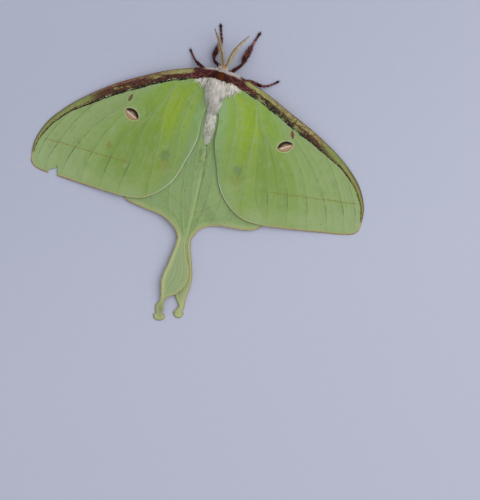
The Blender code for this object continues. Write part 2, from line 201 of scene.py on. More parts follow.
wing_root_height = float(forewing_height(5.0, -2.0))
print("span", 2 * HALF_SPAN, "mm; wing root", round(wing_root_height, 1), "mm above the floor")


# %% Fill outlines with grids of points
def four_sided_patch(front, rear, root, tip):
    """Fills the space between four edge lines: front and rear run outwards, root and tip run back."""
    u = np.linspace(0, 1, len(front))[:, None, None]
    v = np.linspace(0, 1, len(root))[None, :, None]
    across = (1 - v) * front[:, None] + v * rear[:, None]
    along = (1 - u) * root[None] + u * tip[None]
    corners = ((1 - u) * (1 - v) * front[0] + (1 - u) * v * rear[0]
               + u * (1 - v) * front[-1] + u * v * rear[-1])
    return across + along - corners


def bowed(points, side):
    """The leading edge with its side's own small bow."""
    bow = COSTA_BOW[side]
    return [(x, y + bow * math.sin(math.pi * min(x / HALF_SPAN, 1.0)) ** 2) for x, y in points]


def ribbon(stations, rows, columns):
    """A strip of points along stations of (x, y, height, width, roll)."""
    line = smooth_line(stations, rows)
    ahead = np.gradient(line[:, :2], axis=0)
    ahead /= np.linalg.norm(ahead, axis=1)[:, None]
    roll = np.radians(line[:, 4])
    level = np.cos(roll)
    sideways = np.stack([-ahead[:, 1] * level, ahead[:, 0] * level, np.sin(roll)], axis=1)
    share = np.linspace(-0.5, 0.5, columns)[None, :, None]
    return line[:, None, :3] + sideways[:, None] * share * line[:, None, 3:4]


tail_strip = ribbon(TAIL[LEFT], 20, 3)
print("the left tail is", round(float(tail_strip[0, 1, 1] - tail_strip[-1, 1, 1]), 1), "mm long")

# %% [markdown]
# ## Veins
#
# Veins hold a moth's wing open. On the forewing one strong trunk runs from the root, bends round the cell
# that carries the eyespot, and throws branches to the outer edge. On the hindwing they run down into the
# tail. They are drawn once as short lists of points, and used twice: as thin ribs, and to shade the
# membrane on both sides.

# %% Vein lines
FOREWING_VEINS = [
    [(4.0, -2.2), (11.8, -4.6), (15.0, -11.5), (18.6, -16.3), (22.5, -21.0), (25.2, -25.5), (26.9, -30.6),
     (28.2, -38.6)],
    [(17.0, -14.4), (19.0, -21.5), (20.3, -28.5), (21.8, -34.5), (22.6, -39.4)],
    [(12.4, -5.6), (13.5, -12.5), (13.6, -21.5), (13.9, -31.0), (14.2, -38.6)],
    [(4.2, -3.4), (6.6, -8.0), (7.9, -16.0), (7.9, -24.0), (7.6, -31.6)],
    [(20.3, -15.6), (25.2, -16.4), (28.3, -20.4), (31.0, -25.6), (33.0, -31.2), (34.3, -38.2)],
    [(25.0, -12.6), (29.3, -17.0), (33.5, -21.8), (37.0, -27.6), (39.0, -32.2), (40.3, -37.6)],
    [(27.4, -10.2), (33.6, -14.0), (38.8, -20.6), (42.4, -27.4), (44.6, -33.0), (45.0, -37.0)],
    [(33.0, -12.0), (40.4, -18.0), (45.2, -25.0), (47.6, -31.0), (48.3, -35.6)],
    [(4.4, -1.6), (12.0, -3.6), (20.0, -6.8), (27.4, -10.2), (33.0, -12.0)],
]
HINDWING_VEINS = [
    [(3.0, -8.0), (6.0, -16.0), (7.6, -26.0), (7.8, -35.0), (6.8, -41.0), (5.4, -44.4)],
    [(3.6, -7.0), (9.4, -15.0), (12.6, -25.0), (12.8, -34.0), (11.6, -42.4)],
    [(4.0, -6.4), (12.4, -13.4), (17.4, -24.0), (18.0, -34.0), (17.2, -41.4)],
    [(2.4, -9.6), (3.6, -18.0), (4.2, -28.0), (3.6, -37.0), (2.4, -43.0), (0.9, -47.6)],
    [(1.6, -11.0), (1.9, -20.0), (1.6, -30.0), (0.6, -40.0), (0.2, -47.6)],
]
forewing_vein_lines = [smooth_line(vein, 40) for vein in FOREWING_VEINS]
hindwing_vein_lines = [smooth_line(vein, 40) for vein in HINDWING_VEINS]
print(len(FOREWING_VEINS), "forewing and", len(HINDWING_VEINS), "hindwing veins")

# %% [markdown]
# ## A wing as one thin closed body
#
# A membrane could be a plane, but then it has no edge and no underside. We hang a fine grid between the
# outlines, push it up and down by half the wing's thickness and close the rim, so the wing is one closed
# body that is thick along the costa and thin at its margins. While the grid is at hand, each point also
# stores what the finish needs: how far it is from the costa, from the outer margin, from the inner margin
# and from the nearest vein, in mm.


# %% Objects and meshes
def in_scene(name, data):
    """A new object that holds a mesh, a lamp or a camera."""
    obj = bpy.data.objects.new(name, data)
    bpy.context.scene.collection.objects.link(obj)
    return obj


def mesh_of(name, verts, faces, uv=None, values=None):
    """An object from points in mm. uv is each face corner's place on the bake map, values are per point."""
    mesh = bpy.data.meshes.new(name)
    mesh.from_pydata(to_metres(verts).tolist(), [], [list(map(int, face)) for face in faces])
    mesh.shade_smooth()
    if uv is not None:
        layer = mesh.uv_layers.new(name="OFBake")
        layer.data.foreach_set("uv", np.asarray(uv, np.float32).ravel())
    for key, value in (values or {}).items():
        value = np.asarray(value, np.float32)
        kind = "FLOAT" if value.ndim == 1 else "FLOAT_VECTOR"
        attribute = mesh.attributes.new(key, kind, "POINT")
        attribute.data.foreach_set("value" if value.ndim == 1 else "vector", value.ravel())
    return in_scene(name, mesh)


print("the collar lies at", to_metres(np.zeros(3)).round(4).tolist(), "m")


# %% The cells and the rim of a sheet
def grid_normals(points):
    along = np.gradient(points, axis=0)
    across = np.gradient(points, axis=1)
    normals = np.cross(along, across)
    normals /= np.maximum(np.linalg.norm(normals, axis=2), 1e-9)[..., None]
    return normals * np.where(normals[..., 2:3].mean() < 0, -1.0, 1.0)


def in_polygon(points, polygon):
    """True for plan points inside the polygon."""
    inside = np.zeros(points.shape[:-1], bool)
    for (ax, ay), (bx, by) in zip(polygon, polygon[1:] + polygon[:1]):
        x, y = points[..., 0], points[..., 1]
        cuts = (ay > y) != (by > y)
        inside ^= cuts & (x < (bx - ax) * (y - ay) / (by - ay + 1e-12) + ax)
    return inside


def upper_cells(middle, torn):
    """The grid's four-cornered cells, turned to face up. Cells inside torn are left out."""
    rows, columns = middle.shape[:2]
    index = np.arange(rows * columns).reshape(rows, columns)
    cells = np.stack([index[:-1, :-1], index[1:, :-1], index[1:, 1:], index[:-1, 1:]], axis=-1)
    if len(torn):
        centres = (middle[:-1, :-1] + middle[1:, 1:]) / 2
        cells = cells[~in_polygon(centres, torn)]
    cells = cells.reshape(-1, 4)
    corner = middle.reshape(-1, 3)[cells[0]]
    if np.cross(corner[1] - corner[0], corner[2] - corner[0])[2] < 0:
        cells = cells[:, ::-1]
    return cells


def rim_walls(cells, lower):
    """Walls from each open edge of the upper side to the same edge of the lower one."""
    ends = np.concatenate([cells[:, [k, (k + 1) % 4]] for k in range(4)])
    keys = np.sort(ends, axis=1)
    _, first, count = np.unique(keys, axis=0, return_index=True, return_counts=True)
    rim = ends[first[count == 1]]
    return np.stack([rim[:, 1], rim[:, 0], rim[:, 0] + lower, rim[:, 1] + lower], axis=1)


square = np.array([[(x, y, 0.0) for y in (0.0, 1.0)] for x in (0.0, 1.0)])
print("a flat square faces", grid_normals(square)[0, 0].tolist())


# %% Build a closed sheet
FLOOR_GAP = 0.01  # mm: nothing goes lower
THINNEST = 0.04  # mm of membrane
SHEET_MAP = (0.475, 0.96)  # a side's size on the bake map: the upper side lies left, the lower one right


def closed_sheet(name, middle, half, values, torn=()):
    """A thin body round a grid of middle points. half is its half thickness."""
    lower = middle.shape[0] * middle.shape[1]
    normals = grid_normals(middle)
    top, bottom = middle + normals * half[..., None], middle - normals * half[..., None]
    bottom[..., 2] = np.maximum(bottom[..., 2], FLOOR_GAP)
    top[..., 2] = np.maximum(top[..., 2], bottom[..., 2] + THINNEST)
    cells = upper_cells(middle, torn)
    walls = rim_walls(cells, lower)
    faces = np.concatenate([cells, cells[:, ::-1] + lower, walls])
    plan = middle[..., :2].reshape(-1, 2)
    unit = (plan - plan.min(0)) / np.ptp(plan, axis=0)
    unwrap = np.concatenate([unit * SHEET_MAP + (0.01, 0.02), unit * SHEET_MAP + (0.51, 0.02)])
    uv = unwrap[faces]
    uv[-len(walls):, 2:] = unwrap[walls[:, 2:] - lower] + 0.002
    stored_twice = {}
    for key, value in values.items():
        stored_twice[key] = np.concatenate([value.reshape(lower, -1).squeeze()] * 2)
    stored_twice["upper"] = np.repeat([1.0, 0.0], lower)
    stored_twice["shade"] = np.ones(2 * lower)
    stored_twice["unwrap"] = np.concatenate([unwrap, np.zeros((2 * lower, 1))], axis=1)
    verts = np.concatenate([top.reshape(-1, 3), bottom.reshape(-1, 3)])
    used = np.unique(faces)
    renumber = np.zeros(len(verts), int)
    renumber[used] = np.arange(len(used))
    stored_used = {key: value[used] for key, value in stored_twice.items()}
    return mesh_of(name, verts[used], renumber[faces], uv, stored_used)


def nearest_vein(plan, lines):
    return np.min([distance_to_line(plan, line) for line in lines], axis=0)


cell_middle = nearest_vein(np.array([[22.0, -14.0]]), forewing_vein_lines)
print("the middle of the forewing's cell is", cell_middle.round(1).tolist(), "mm from a vein")

# %% [markdown]
# ## The four wings
#
# The forewing's grid runs from root to margin in one direction and from costa to inner edge in the other,
# and it is finer across than along, because veins run along the wing. Its height gets three small
# reliefs: each vein stands up as a ridge, the membrane sags a little between veins, and soft pleats fan
# out from the root. The hindwing and its tail are one sheet, so that no seam shows where the solid model
# has its cut. The same grids also say how thickly hair stands at each point and which way it lies.

# %% What the wings store and how their relief goes
FOREWING_GRID = (150, 190)
HINDWING_GRID = (120, 110)
TAIL_ROWS = 90
VEIN_HEIGHT, VEIN_WIDTH = 0.08, 0.3  # mm
VEIN_SAG = 0.14  # mm that the membrane sags between veins
PLEAT_HEIGHT = {"forewing": 0.035, "hindwing": 0.06}  # mm
MEMBRANE_HALF = 0.035  # mm, at the very edge
COSTA_ROLL = 0.22  # mm that the leading edge is thicker, to each side
TAIL_CURL = 0.10  # mm that the tails' edges are thicker, to each side
MIDLINE = 0.35  # mm that the body's middle lies right of the collar's
FLOW_VEINS = 8  # of the forewing's veins, those that run out to the margin
FLOW_PLACES = (0.46, 0.36, 0.24, 0.12, 0.58, 0.70, 0.82, 0.92, 1.0, 0.0)  # theirs, then the two edges'
WOOL_TUFT = {LEFT: (-2.8, -0.15), RIGHT: (-4.9, 0.60)}  # y where the white root ends, its slope outwards
BAND_SHARES = [0.0, 0.12, 0.45, 0.62, 0.72, 0.85, 0.97, 1.0]  # of the way to the tip
BAND_WIDTHS = [2.9, 3.2, 3.3, 2.7, 1.9, 1.5, 0.5, 0.3]  # mm
margins = {}  # for each wing, its edge lines and the way out over them, for the fringe


def costal_band(along):
    """Width in mm of the dark band on the leading edge."""
    return np.interp(along, BAND_SHARES, BAND_WIDTHS)


def vein_flow(plan, lines, places):
    """A number that runs across the wing from its rear to its front and is constant along each vein."""
    weights = [1 / (distance_to_line(plan, line) ** 3 + 0.05) for line in lines]
    return sum(place * weight for place, weight in zip(places, weights)) / sum(weights)


def vein_ridge(to_vein):
    return VEIN_HEIGHT * np.exp(-((to_vein / VEIN_WIDTH) ** 2))


def one_way(shape, x, y):
    """The same direction, level, at every point of a grid."""
    return np.stack([np.full(shape, x), np.full(shape, y), np.zeros(shape)], axis=-1)


print("costal band", costal_band(0.3).round(1), "mm wide a third of the way out")


# %% Make the forewings
def forewing_relief(to, flow, reach, edge):
    """Ridges on the veins, a sag between them, and pleats that fade near the root and the margins."""
    sag = -VEIN_SAG * smoothstep(0.0, 2.4, to["vein"])
    pleats = np.sin(flow * 61 + 0.5 * np.sin(reach * 0.25)) + 0.6 * np.sin(flow * 103 + 1.0)
    calm = smoothstep(3.0, 12.0, reach) * smoothstep(1.0, 7.0, np.minimum(to["hem"], to["rim"]))
    relief = vein_ridge(to["vein"]) + sag + PLEAT_HEIGHT["forewing"] * pleats * calm
    return smoothstep(0.3, 4.0, edge) * relief


def forewing_coat(side, middle, to_costa, across, along):
    """Where wool and short fur stand on the wing's root and edge, how long, and which way they lie."""
    x, y = middle[..., 0] - MIDLINE, middle[..., 1]
    out = np.abs(x)
    start, slope = WOOL_TUFT[side]
    tuft = smoothstep(-0.7, 0.6, y - start - slope * (out - 3.2)) * smoothstep(6.6, 4.8, out)
    collar = smoothstep(8.5, 6.6, out) * (across < 1.0)
    scruff = 0.25 * smoothstep(0.7, 0.2, to_costa) * smoothstep(0.95, 0.5, along)
    lie = one_way(along.shape, 0.30 * side, -1.0)
    lie[..., 0] -= (0.3 * side + 0.3) * smoothstep(9.0, 6.0, out)
    lie[..., 0] += side * 0.8 * smoothstep(-1.6, 0.0, y) * smoothstep(9.0, 5.0, out)
    return {"wool": tuft * (across > 0.9), "collar": np.maximum(collar, scruff), "lie": lie,
            "strand": np.where(across < 1.0, 0.8, 1.9)}


def build_forewing(side):
    rows, columns = FOREWING_GRID
    inward = ROOT_INWARD[side]
    (x, y), *others = bowed(FOREWING_COSTA, side)
    costa = smooth_line([(x - inward, y + 0.25 * inward), *others], rows)
    dorsum = smooth_line(FOREWING_DORSUM, rows)
    termen = smooth_line(FOREWING_TERMEN, columns)
    plan = four_sided_patch(costa, dorsum, np.linspace(costa[0], dorsum[0], columns), termen)
    to = {"costa": distance_to_line(plan, costa), "rim": distance_to_line(plan, termen),
          "hem": distance_to_line(plan, dorsum), "vein": nearest_vein(plan, forewing_vein_lines)}
    flow = vein_flow(plan, [*forewing_vein_lines[:FLOW_VEINS], costa, dorsum], FLOW_PLACES)
    reach = np.linalg.norm(plan - (4.0, -2.0), axis=-1)
    along = np.broadcast_to(np.linspace(0, 1, rows)[:, None], plan.shape[:2])
    edge = np.minimum(np.minimum(to["costa"], to["rim"]), to["hem"])
    band = costal_band(along)
    across = to["costa"] / band
    roll = COSTA_ROLL * np.clip(1 - ((to["costa"] - 0.35 * band) / (0.5 * band)) ** 2, 0.0, 1.0)
    height = forewing_height(plan[..., 0], plan[..., 1]) + forewing_relief(to, flow, reach, edge)
    settle = 0.2 * smoothstep(3.0, 0.0, height)
    middle = np.stack([plan[..., 0] * side, plan[..., 1], height - settle + roll * 0.35], axis=-1)
    half = MEMBRANE_HALF + 0.06 * smoothstep(0.0, 0.8, edge) + roll
    values = {**to, "across": across, "flow": flow, "reach": reach, "along": along,
              **forewing_coat(side, middle, to["costa"], across, along)}
    name = "forewing_skin_" + SIDE_WORD[side]
    margins[name] = [(middle[-1], middle[-1] - middle[-8])]
    return closed_sheet(name, middle, half, values, NICK if side == LEFT else ())


forewings = {side: build_forewing(side) for side in (LEFT, RIGHT)}
for obj in forewings.values():
    print(obj.name, len(obj.data.polygons), "faces")


# %% Make the hindwings with their tails
def hindwing_grid(side):
    """The middle of wing and tail as one grid, from root to tail tip."""
    rows, columns = HINDWING_GRID
    outer, inner = smooth_line(HINDWING_OUTER[side], rows), smooth_line(HINDWING_INNER[side], rows)
    root, neck = np.linspace(outer[0], inner[0], columns), np.linspace(outer[-1], inner[-1], columns)
    plan = four_sided_patch(outer, inner, root, neck)
    height = hindwing_height(plan[..., 0], plan[..., 1], side)
    wing = np.stack([plan[..., 0] * side, plan[..., 1], height], axis=-1)
    tail = ribbon(TAIL[side], TAIL_ROWS, columns)
    if side == RIGHT:
        tail = tail[:, ::-1]
    return np.concatenate([wing[:-2], tail])


def round_off(middle, share):
    """Draws in the corners of the tail's end."""
    corner = np.abs(share - 0.5) * 2
    inward = (middle[-30:-29, :, :2] - middle[-1:, :, :2]) * 0.16
    middle[-8:, :, :2] += inward * (corner[-8:, :, None] ** 3) * np.linspace(0.1, 1, 8)[:, None, None]


def build_hindwing(side):
    rows, columns = HINDWING_GRID
    middle = hindwing_grid(side)
    outer_edge, inner_edge = middle[rows // 3:, 0], middle[rows // 3:, -1]
    to_rim = np.minimum(distance_to_line(middle, outer_edge), distance_to_line(middle, middle[-1]))
    to_hem = distance_to_line(middle, inner_edge)
    outward = middle[..., :2] * (side, 1.0)
    midrib = smooth_line([(0.2, -47.6, 0)] + [(side * x, y, 0) for x, y, *_ in TAIL[side][1:]], 60)
    to_vein = nearest_vein(outward, [*hindwing_vein_lines, midrib])
    share = np.broadcast_to(np.linspace(0, 1, columns)[None], middle.shape[:2])
    steps = np.linalg.norm(np.diff(middle[:, columns // 2], axis=0), axis=1)
    run = np.concatenate([[0], np.cumsum(steps)])
    reach = np.broadcast_to(run[:, None], middle.shape[:2])
    folds = np.sin(share * 23.0 + 0.4 * np.sin(reach * 0.2)) * 0.6
    folds = folds + np.sin(share * 41.0 + reach * 0.1) * 0.4
    round_off(middle, share)
    edge = np.minimum(to_rim, to_hem)
    relief = smoothstep(0.2, 1.6, edge) * (vein_ridge(to_vein) + PLEAT_HEIGHT["hindwing"] * folds)
    middle[..., 2] += relief - 0.12 * smoothstep(2.0, 0.6, middle[..., 2])
    on_tail = smoothstep(-44.0, -50.0, middle[..., 1])
    curl = TAIL_CURL * np.clip(1 - ((edge - 0.3) / 0.45) ** 2, 0.0, 1.0) * on_tail
    half = MEMBRANE_HALF + 0.05 * smoothstep(0.0, 0.6, edge) + curl
    hairy = 0.6 * smoothstep(3.0, 0.6, to_hem) * smoothstep(-34.0, -20.0, middle[..., 1])
    values = {"rim": to_rim, "hem": to_hem, "vein": to_vein, "flow": share, "reach": reach, "wool": hairy,
              "lie": one_way(share.shape, 0.12 * side, -1.0), "strand": np.full(share.shape, 2.2)}
    name, first = "hindwing_skin_" + SIDE_WORD[side], rows // 2
    across = middle[:, 0] - middle[:, -1]
    margins[name] = [(middle[first:, 0], across[first:]), (middle[rows + 4:, -1], -across[rows + 4:]),
                     (middle[-1], middle[-1] - middle[-5])]
    return closed_sheet(name, middle, half, values)


hindwings = {side: build_hindwing(side) for side in (LEFT, RIGHT)}
for obj in hindwings.values():
    print(obj.name, len(obj.data.polygons), "faces")

# %% [markdown]
# ## One skin for head, thorax and abdomen
#
# The solid model parts the body with thin cuts. The real body is one fleshy tube, so one loft runs
# through all three: rings round a line from the face to the tip of the abdomen, each ring as wide and
# tall as the solids there, less the depth of the coat. Where two solids meet, the larger one wins softly,
# which makes the neck and the waist.

# %% Measure the body
COAT_DEPTH = {"head": 0.35, "thorax": 0.7, "abdomen": 0.45}  # mm that the skin lies inside the solid
BODY_RINGS, BODY_SIDES = 120, 56
# How much further each egg reaches than its solid, ahead and behind, in mm, so that neighbours meet.
AHEAD_AND_BEHIND = {"head": (0.9, 0.9), "thorax": (-0.2, 1.6), "abdomen": (3.6, 0.9)}
POINTED = {"head": 0.5, "thorax": 0.6, "abdomen": 0.8}  # 0.5 is a round rear end, 1 is a pointed one


def egg(node):
    """Middle and half sizes in mm of a node that is about egg-shaped, measured on the frame."""
    low, high = (np.array(corner) / MM - (0.0, collar_y, 0.0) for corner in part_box(node))
    return (low + high) / 2, (high - low) / 2


def body_profile(y):
    """Half width, half height, and the middle's x and z at each y: the larger of three eggs, blended."""
    shapes = []
    for node, depth in COAT_DEPTH.items():
        middle, half = egg(node)
        step = y - middle[1]
        reach = half[1] + np.where(step > 0, *AHEAD_AND_BEHIND[node])
        inside = np.clip(1 - (step / reach) ** 2, 0.0, None) ** np.where(step < 0, POINTED[node], 0.5)
        taper, swung = 1.0, 0.0
        if node == "thorax":  # it narrows backwards, and its middle swings a little to the left
            taper = 0.87 * (1 + 0.22 * step / half[1])
            swung = -0.55 * smoothstep(-9.0, -6.0, y) * smoothstep(1.0, -1.0, y)
        shapes.append([inside * taper * (half[0] - depth), inside * (half[2] - depth),
                       middle[0] + swung + 0 * y, np.full_like(y, middle[2])])
    wide, tall, x, z = np.array(shapes).transpose(1, 0, 2)
    weight = (wide + 1e-3) ** 2.5
    weight /= weight.sum(0)
    half_width, half_height = (wide**3).sum(0) ** (1 / 3), (tall**3).sum(0) ** (1 / 3)
    return half_width, half_height, (x * weight).sum(0), (z * weight).sum(0)


for node in COAT_DEPTH:
    print(node, (egg(node)[1] * 2).round(1).tolist(), "mm")


# %% Make a closed tube from rings
def ring_mesh(name, rings, values=None):
    """A tube through rings[i, j] with closed ends. Its unwrap is its girth and its length."""
    count, sides = rings.shape[:2]
    index = np.arange(count * sides).reshape(count, sides)
    across = np.roll(index, -1, axis=1)
    cells = np.stack([index[:-1], index[1:], across[1:], across[:-1]], axis=-1).reshape(-1, 4)
    girth = np.broadcast_to(np.linspace(0.02, 0.98, sides), (count, sides))
    length = np.broadcast_to(np.linspace(0.02, 0.98, count)[:, None], (count, sides))
    unwrap = np.stack([girth, length, np.zeros((count, sides))], axis=-1).reshape(-1, 3)
    centre = rings.mean((0, 1))
    a, b, c = (rings.reshape(-1, 3)[cells[:, k]] for k in range(3))
    if np.einsum("ij,ij->i", a - centre, np.cross(b - a, c - a)).sum() < 0:
        cells, index = cells[:, ::-1], index[:, ::-1]
    faces = [list(cell) for cell in cells] + [list(index[0][::-1]), list(index[-1])]
    uv = []
    for number, face in enumerate(faces):
        corners = unwrap[face, :2].copy()
        if number < len(cells) and np.ptp(corners[:, 0]) > 0.5:
            corners[corners[:, 0] < 0.5, 0] = 1.0
        uv.append(corners)
    values = {"shade": np.ones((count, sides)), **(values or {})}
    values = {key: np.asarray(value).reshape(count * sides, -1).squeeze() for key, value in values.items()}
    values["unwrap"] = unwrap
    obj = mesh_of(name, rings.reshape(-1, 3), faces, np.concatenate(uv), values)
    obj.data.validate()
    return obj


turn = np.linspace(0, 2 * math.pi, 8, endpoint=False)
hoop = np.stack([np.cos(turn), 0 * turn, np.sin(turn)], axis=-1)
test_tube = ring_mesh("test_tube", np.stack([hoop, hoop + (0, 1, 0)]))
print("a tube of 2 rings of 8 points has", len(test_tube.data.polygons), "faces")
bpy.data.objects.remove(test_tube)


# %% Make the body skin
def body_coat(along, turn, x, upper):
    """Where each of the body's coats stands, how long, and which way it lies."""
    front, rear = smoothstep(-1.7, -0.8, along), smoothstep(-8.0, -11.0, along)
    under = 1.0 - 0.35 * (upper < -0.6)
    face = smoothstep(1.0, 1.5, along)
    leftmost = smoothstep(0.4, -0.6, x)
    cheek = 0.2 - 0.35 * leftmost - 0.62 * smoothstep(1.4, 2.0, x)
    long = 2.4 + 0.3 * smoothstep(-5.0, -8.0, along)
    strand = (long * (1 - front) + (0.7 + cheek * face) * front) * (1 - rear)
    strand += rear * (1.8 - 0.9 * smoothstep(-15.5, -18.5, along))
    sideways = np.cos(turn)[None] * (0.16 * smoothstep(-6.0, -2.0, along) - 0.12) - 1.7 * leftmost * face
    sideways -= 0.10 * smoothstep(-11.0, -8.0, along) * (1 - face)
    ahead = np.where(along > 1.0, 0.9 - 0.6 * leftmost, -1.0)
    lie = np.stack([sideways, ahead, np.where(along > 1.0, -0.3, -0.1)], axis=-1)
    brow = leftmost * smoothstep(0.9, 1.3, along) * (upper > 0.2)
    # The skin's shade of 0.7 is painted shade: the skin under the coat is darker.
    return {"chest": under * (1 - front) * (1 - rear), "belly": under * rear, "front": under * front,
            "brow": brow, "strand": strand, "lie": lie, "shade": np.full(along.shape, 0.7)}


def build_body():
    nose, tail = egg("head")[0][1] + 1.55, egg("abdomen")[0][1] - 5.3
    t = np.clip(np.linspace(0, 1, BODY_RINGS), 0.004, 0.996)
    y = nose + (tail - nose) * (0.5 - 0.5 * np.cos(math.pi * t))
    wide, tall, x, z = body_profile(y)
    wide, tall = np.maximum(wide, 0.05), np.maximum(tall, 0.05)
    turn = np.linspace(0, 2 * math.pi, BODY_SIDES, endpoint=False) - math.pi / 2
    along = np.broadcast_to(y[:, None], (BODY_RINGS, BODY_SIDES))
    across = x[:, None] + wide[:, None] * np.cos(turn)
    height = z[:, None] + tall[:, None] * np.sin(turn)
    upper = np.sin(turn)[None] + 0 * along
    rings = np.stack([across, along, height], axis=-1)
    return ring_mesh("body_skin", rings, body_coat(along, turn, across, upper))


body = build_body()
print("body skin", len(body.data.polygons), "faces, from y", round(body.bound_box[0][1] / MM, 1), "mm")

# %% [markdown]
# ## Legs
#
# A moth's leg is a chain of hard tubes: a thick femur, a tibia that looks thick because it is so hairy,
# and a foot of five short joints that ends in two claws. A loft along the leg's line does it, with the
# radius pinched at each joint. The line is the solid leg's own line, so the foot lands where the frame
# rests on the floor.

# %% Leg lines
# (x, y, height, radius) from the hip to the claws, then the length's shares where the tibia starts and ends.
HIND_LEG = [(1.6, -6.4, 1.4, 0.6), (4.4, -8.2, 1.2, 0.55), (7.0, -9.6, 1.1, 0.5), (8.4, -12.0, 0.8, 0.55),
            (9.4, -15.0, 0.45, 0.45), (10.2, -17.4, 0.3, 0.36), (11.0, -20.2, 0.28, 0.38)]
LEGS = {
    "leg_fore_left": (
        [(-0.2, -0.4, 1.6, 0.6), (-0.4, 2.8, 1.7, 0.55), (-2.6, 4.6, 1.9, 0.5), (-2.9, 6.0, 1.7, 0.7),
         (-2.6, 7.6, 1.5, 0.75), (-2.1, 9.4, 1.0, 0.5), (-1.7, 10.6, 0.6, 0.42), (-2.2, 12.6, 0.3, 0.36),
         (-3.1, 15.7, 0.28, 0.42)], 0.36, 0.64),
    "leg_fore_right": (
        [(1.8, -0.6, 1.8, 0.7), (3.4, 2.6, 2.0, 0.62), (5.6, 5.1, 1.9, 0.5), (6.0, 6.6, 1.7, 0.8),
         (6.5, 8.5, 1.4, 0.85), (7.2, 10.9, 0.9, 0.5), (7.7, 12.3, 0.5, 0.42), (8.2, 13.8, 0.3, 0.36),
         (8.9, 15.7, 0.28, 0.42)], 0.37, 0.70),
    "leg_mid_left": (
        [(-2.0, -3.0, 1.8, 0.7), (-4.4, 1.0, 1.9, 0.62), (-7.2, 2.9, 1.7, 0.6), (-8.0, 3.5, 1.4, 0.42),
         (-8.7, 4.3, 0.8, 0.42), (-9.4, 5.3, 0.4, 0.36), (-10.4, 6.7, 0.28, 0.4)], 0.40, 0.70),
    "leg_mid_right": (
        [(2.0, -3.0, 1.8, 0.7), (7.6, 0.6, 1.9, 0.62), (12.4, 0.2, 1.7, 0.6), (13.2, 0.3, 1.4, 0.42),
         (14.6, 0.8, 0.8, 0.42), (15.9, 1.7, 0.4, 0.36), (17.3, 2.8, 0.28, 0.4)], 0.38, 0.68),
    "leg_hind_left": ([(-x, *others) for x, *others in HIND_LEG], 0.36, 0.68),
    "leg_hind_right": (HIND_LEG, 0.36, 0.68),
}
LEG_ROWS, LEG_SIDES = 90, 14
FOOT_JOINTS = 5
LEG_HAIR = {"fore": 1.0, "mid": 0.6, "hind": 0.9}  # how shaggy each pair is
print("the legs have", [len(stations) for stations, _, _ in LEGS.values()], "stations")


# %% Make the legs
def tube_rings(line, radius, sides):
    """Rings of points round a line, without twist."""
    ahead = np.gradient(line, axis=0)
    ahead /= np.linalg.norm(ahead, axis=1)[:, None]
    up = np.tile([0.0, 0.0, 1.0], (len(line), 1))
    across = np.cross(ahead, up)
    across /= np.maximum(np.linalg.norm(across, axis=1), 1e-6)[:, None]
    above = np.cross(across, ahead)
    turn = np.linspace(0, 2 * math.pi, sides, endpoint=False)
    ring = across[:, None] * np.cos(turn)[None, :, None] + above[:, None] * np.sin(turn)[None, :, None]
    return line[:, None] + ring * radius[:, None, None], ahead


def notch(share, place, width):
    """A narrow dip at one place of a leg."""
    return np.exp(-(((share - place) / width) ** 2))


def build_leg(node, stations, knee, ankle):
    shaggy = LEG_HAIR[node.split("_")[1]]
    line = smooth_line(stations, LEG_ROWS)
    share = np.linspace(0, 1, LEG_ROWS)
    foot = np.clip((share - ankle) / (1 - ankle), 0, 1)
    joints = 1 - 0.28 * notch((foot * FOOT_JOINTS) % 1, 0.02, 0.12) * (foot > 0)
    pinch = 1 - 0.35 * notch(share, knee, 0.015) - 0.25 * notch(share, ankle, 0.012)
    tibia = smoothstep(knee, knee + 0.05, share) * smoothstep(ankle, ankle - 0.05, share)
    stout = 0.55 + 0.22 * shaggy - 0.22 * tibia * shaggy + 0.10 * (foot > 0)
    stout = stout + 0.25 * smoothstep(0.8, 0.97, foot)
    rounded = np.sqrt(np.clip(1 - (np.maximum(share - 0.985, 0) / 0.016) ** 2, 0.05, 1))
    rings, ahead = tube_rings(line[:, :3], line[:, 3] * stout * joints * pinch * rounded, LEG_SIDES)
    rings[..., 2] = np.maximum(rings[..., 2], FLOOR_GAP)
    femur = smoothstep(0.0, 0.1, share) * (1 - tibia) * (foot <= 0)
    hairy = 0.55 * femur + tibia + 0.25 * (foot > 0)
    strand = (0.6 + 0.6 * tibia) * shaggy - 0.25 * (foot > 0)
    values = {"wool": hairy, "strand": strand, "tibia": tibia, "foot": foot}
    values = {key: value[:, None] * np.ones(rings.shape[:2]) for key, value in values.items()}
    values["lie"] = np.broadcast_to(ahead[:, None], rings.shape)
    return ring_mesh(node.replace("leg", "leg_skin"), rings, values)


legs = {node: build_leg(node, *shape) for node, shape in LEGS.items()}
print(len(legs), "legs of", len(legs["leg_fore_left"].data.polygons), "faces each")

# %% [markdown]
# ## Expressions that write nodes
#
# Markings are sums: this mask times that colour, plus a little noise. Wiring those by hand is slow to
# read, so one small class wraps a socket and lets Python's own operators add the Math nodes. Any other
# node comes from one function, which sets the node's settings first and then its sockets. The same pair
# works in geometry trees.


# %% Sockets as numbers
class Term:
    """A node's output that can stand in an expression."""

    def __init__(self, tree, output):
        self.tree, self.output = tree, output

    def pick(self, name):
        return Term(self.tree, self.output.node.outputs[name])

    def math(self, operation, *values):
        return add(self.tree, "ShaderNodeMath", {"operation": operation}, dict(enumerate(values)))

    def __add__(self, other):
        return self.math("ADD", self, other)

    def __sub__(self, other):
        return self.math("SUBTRACT", self, other)

    def __rsub__(self, other):
        return self.math("SUBTRACT", other, self)

    def __mul__(self, other):
        return self.math("MULTIPLY", self, other)

    def __truediv__(self, other):
        return self.math("DIVIDE", self, other)

    def __rtruediv__(self, other):
        return self.math("DIVIDE", other, self)

    def __abs__(self):
        return self.math("ABSOLUTE", self)

    __radd__, __rmul__ = __add__, __mul__


print("a Term works in +, -, *, / and abs()")


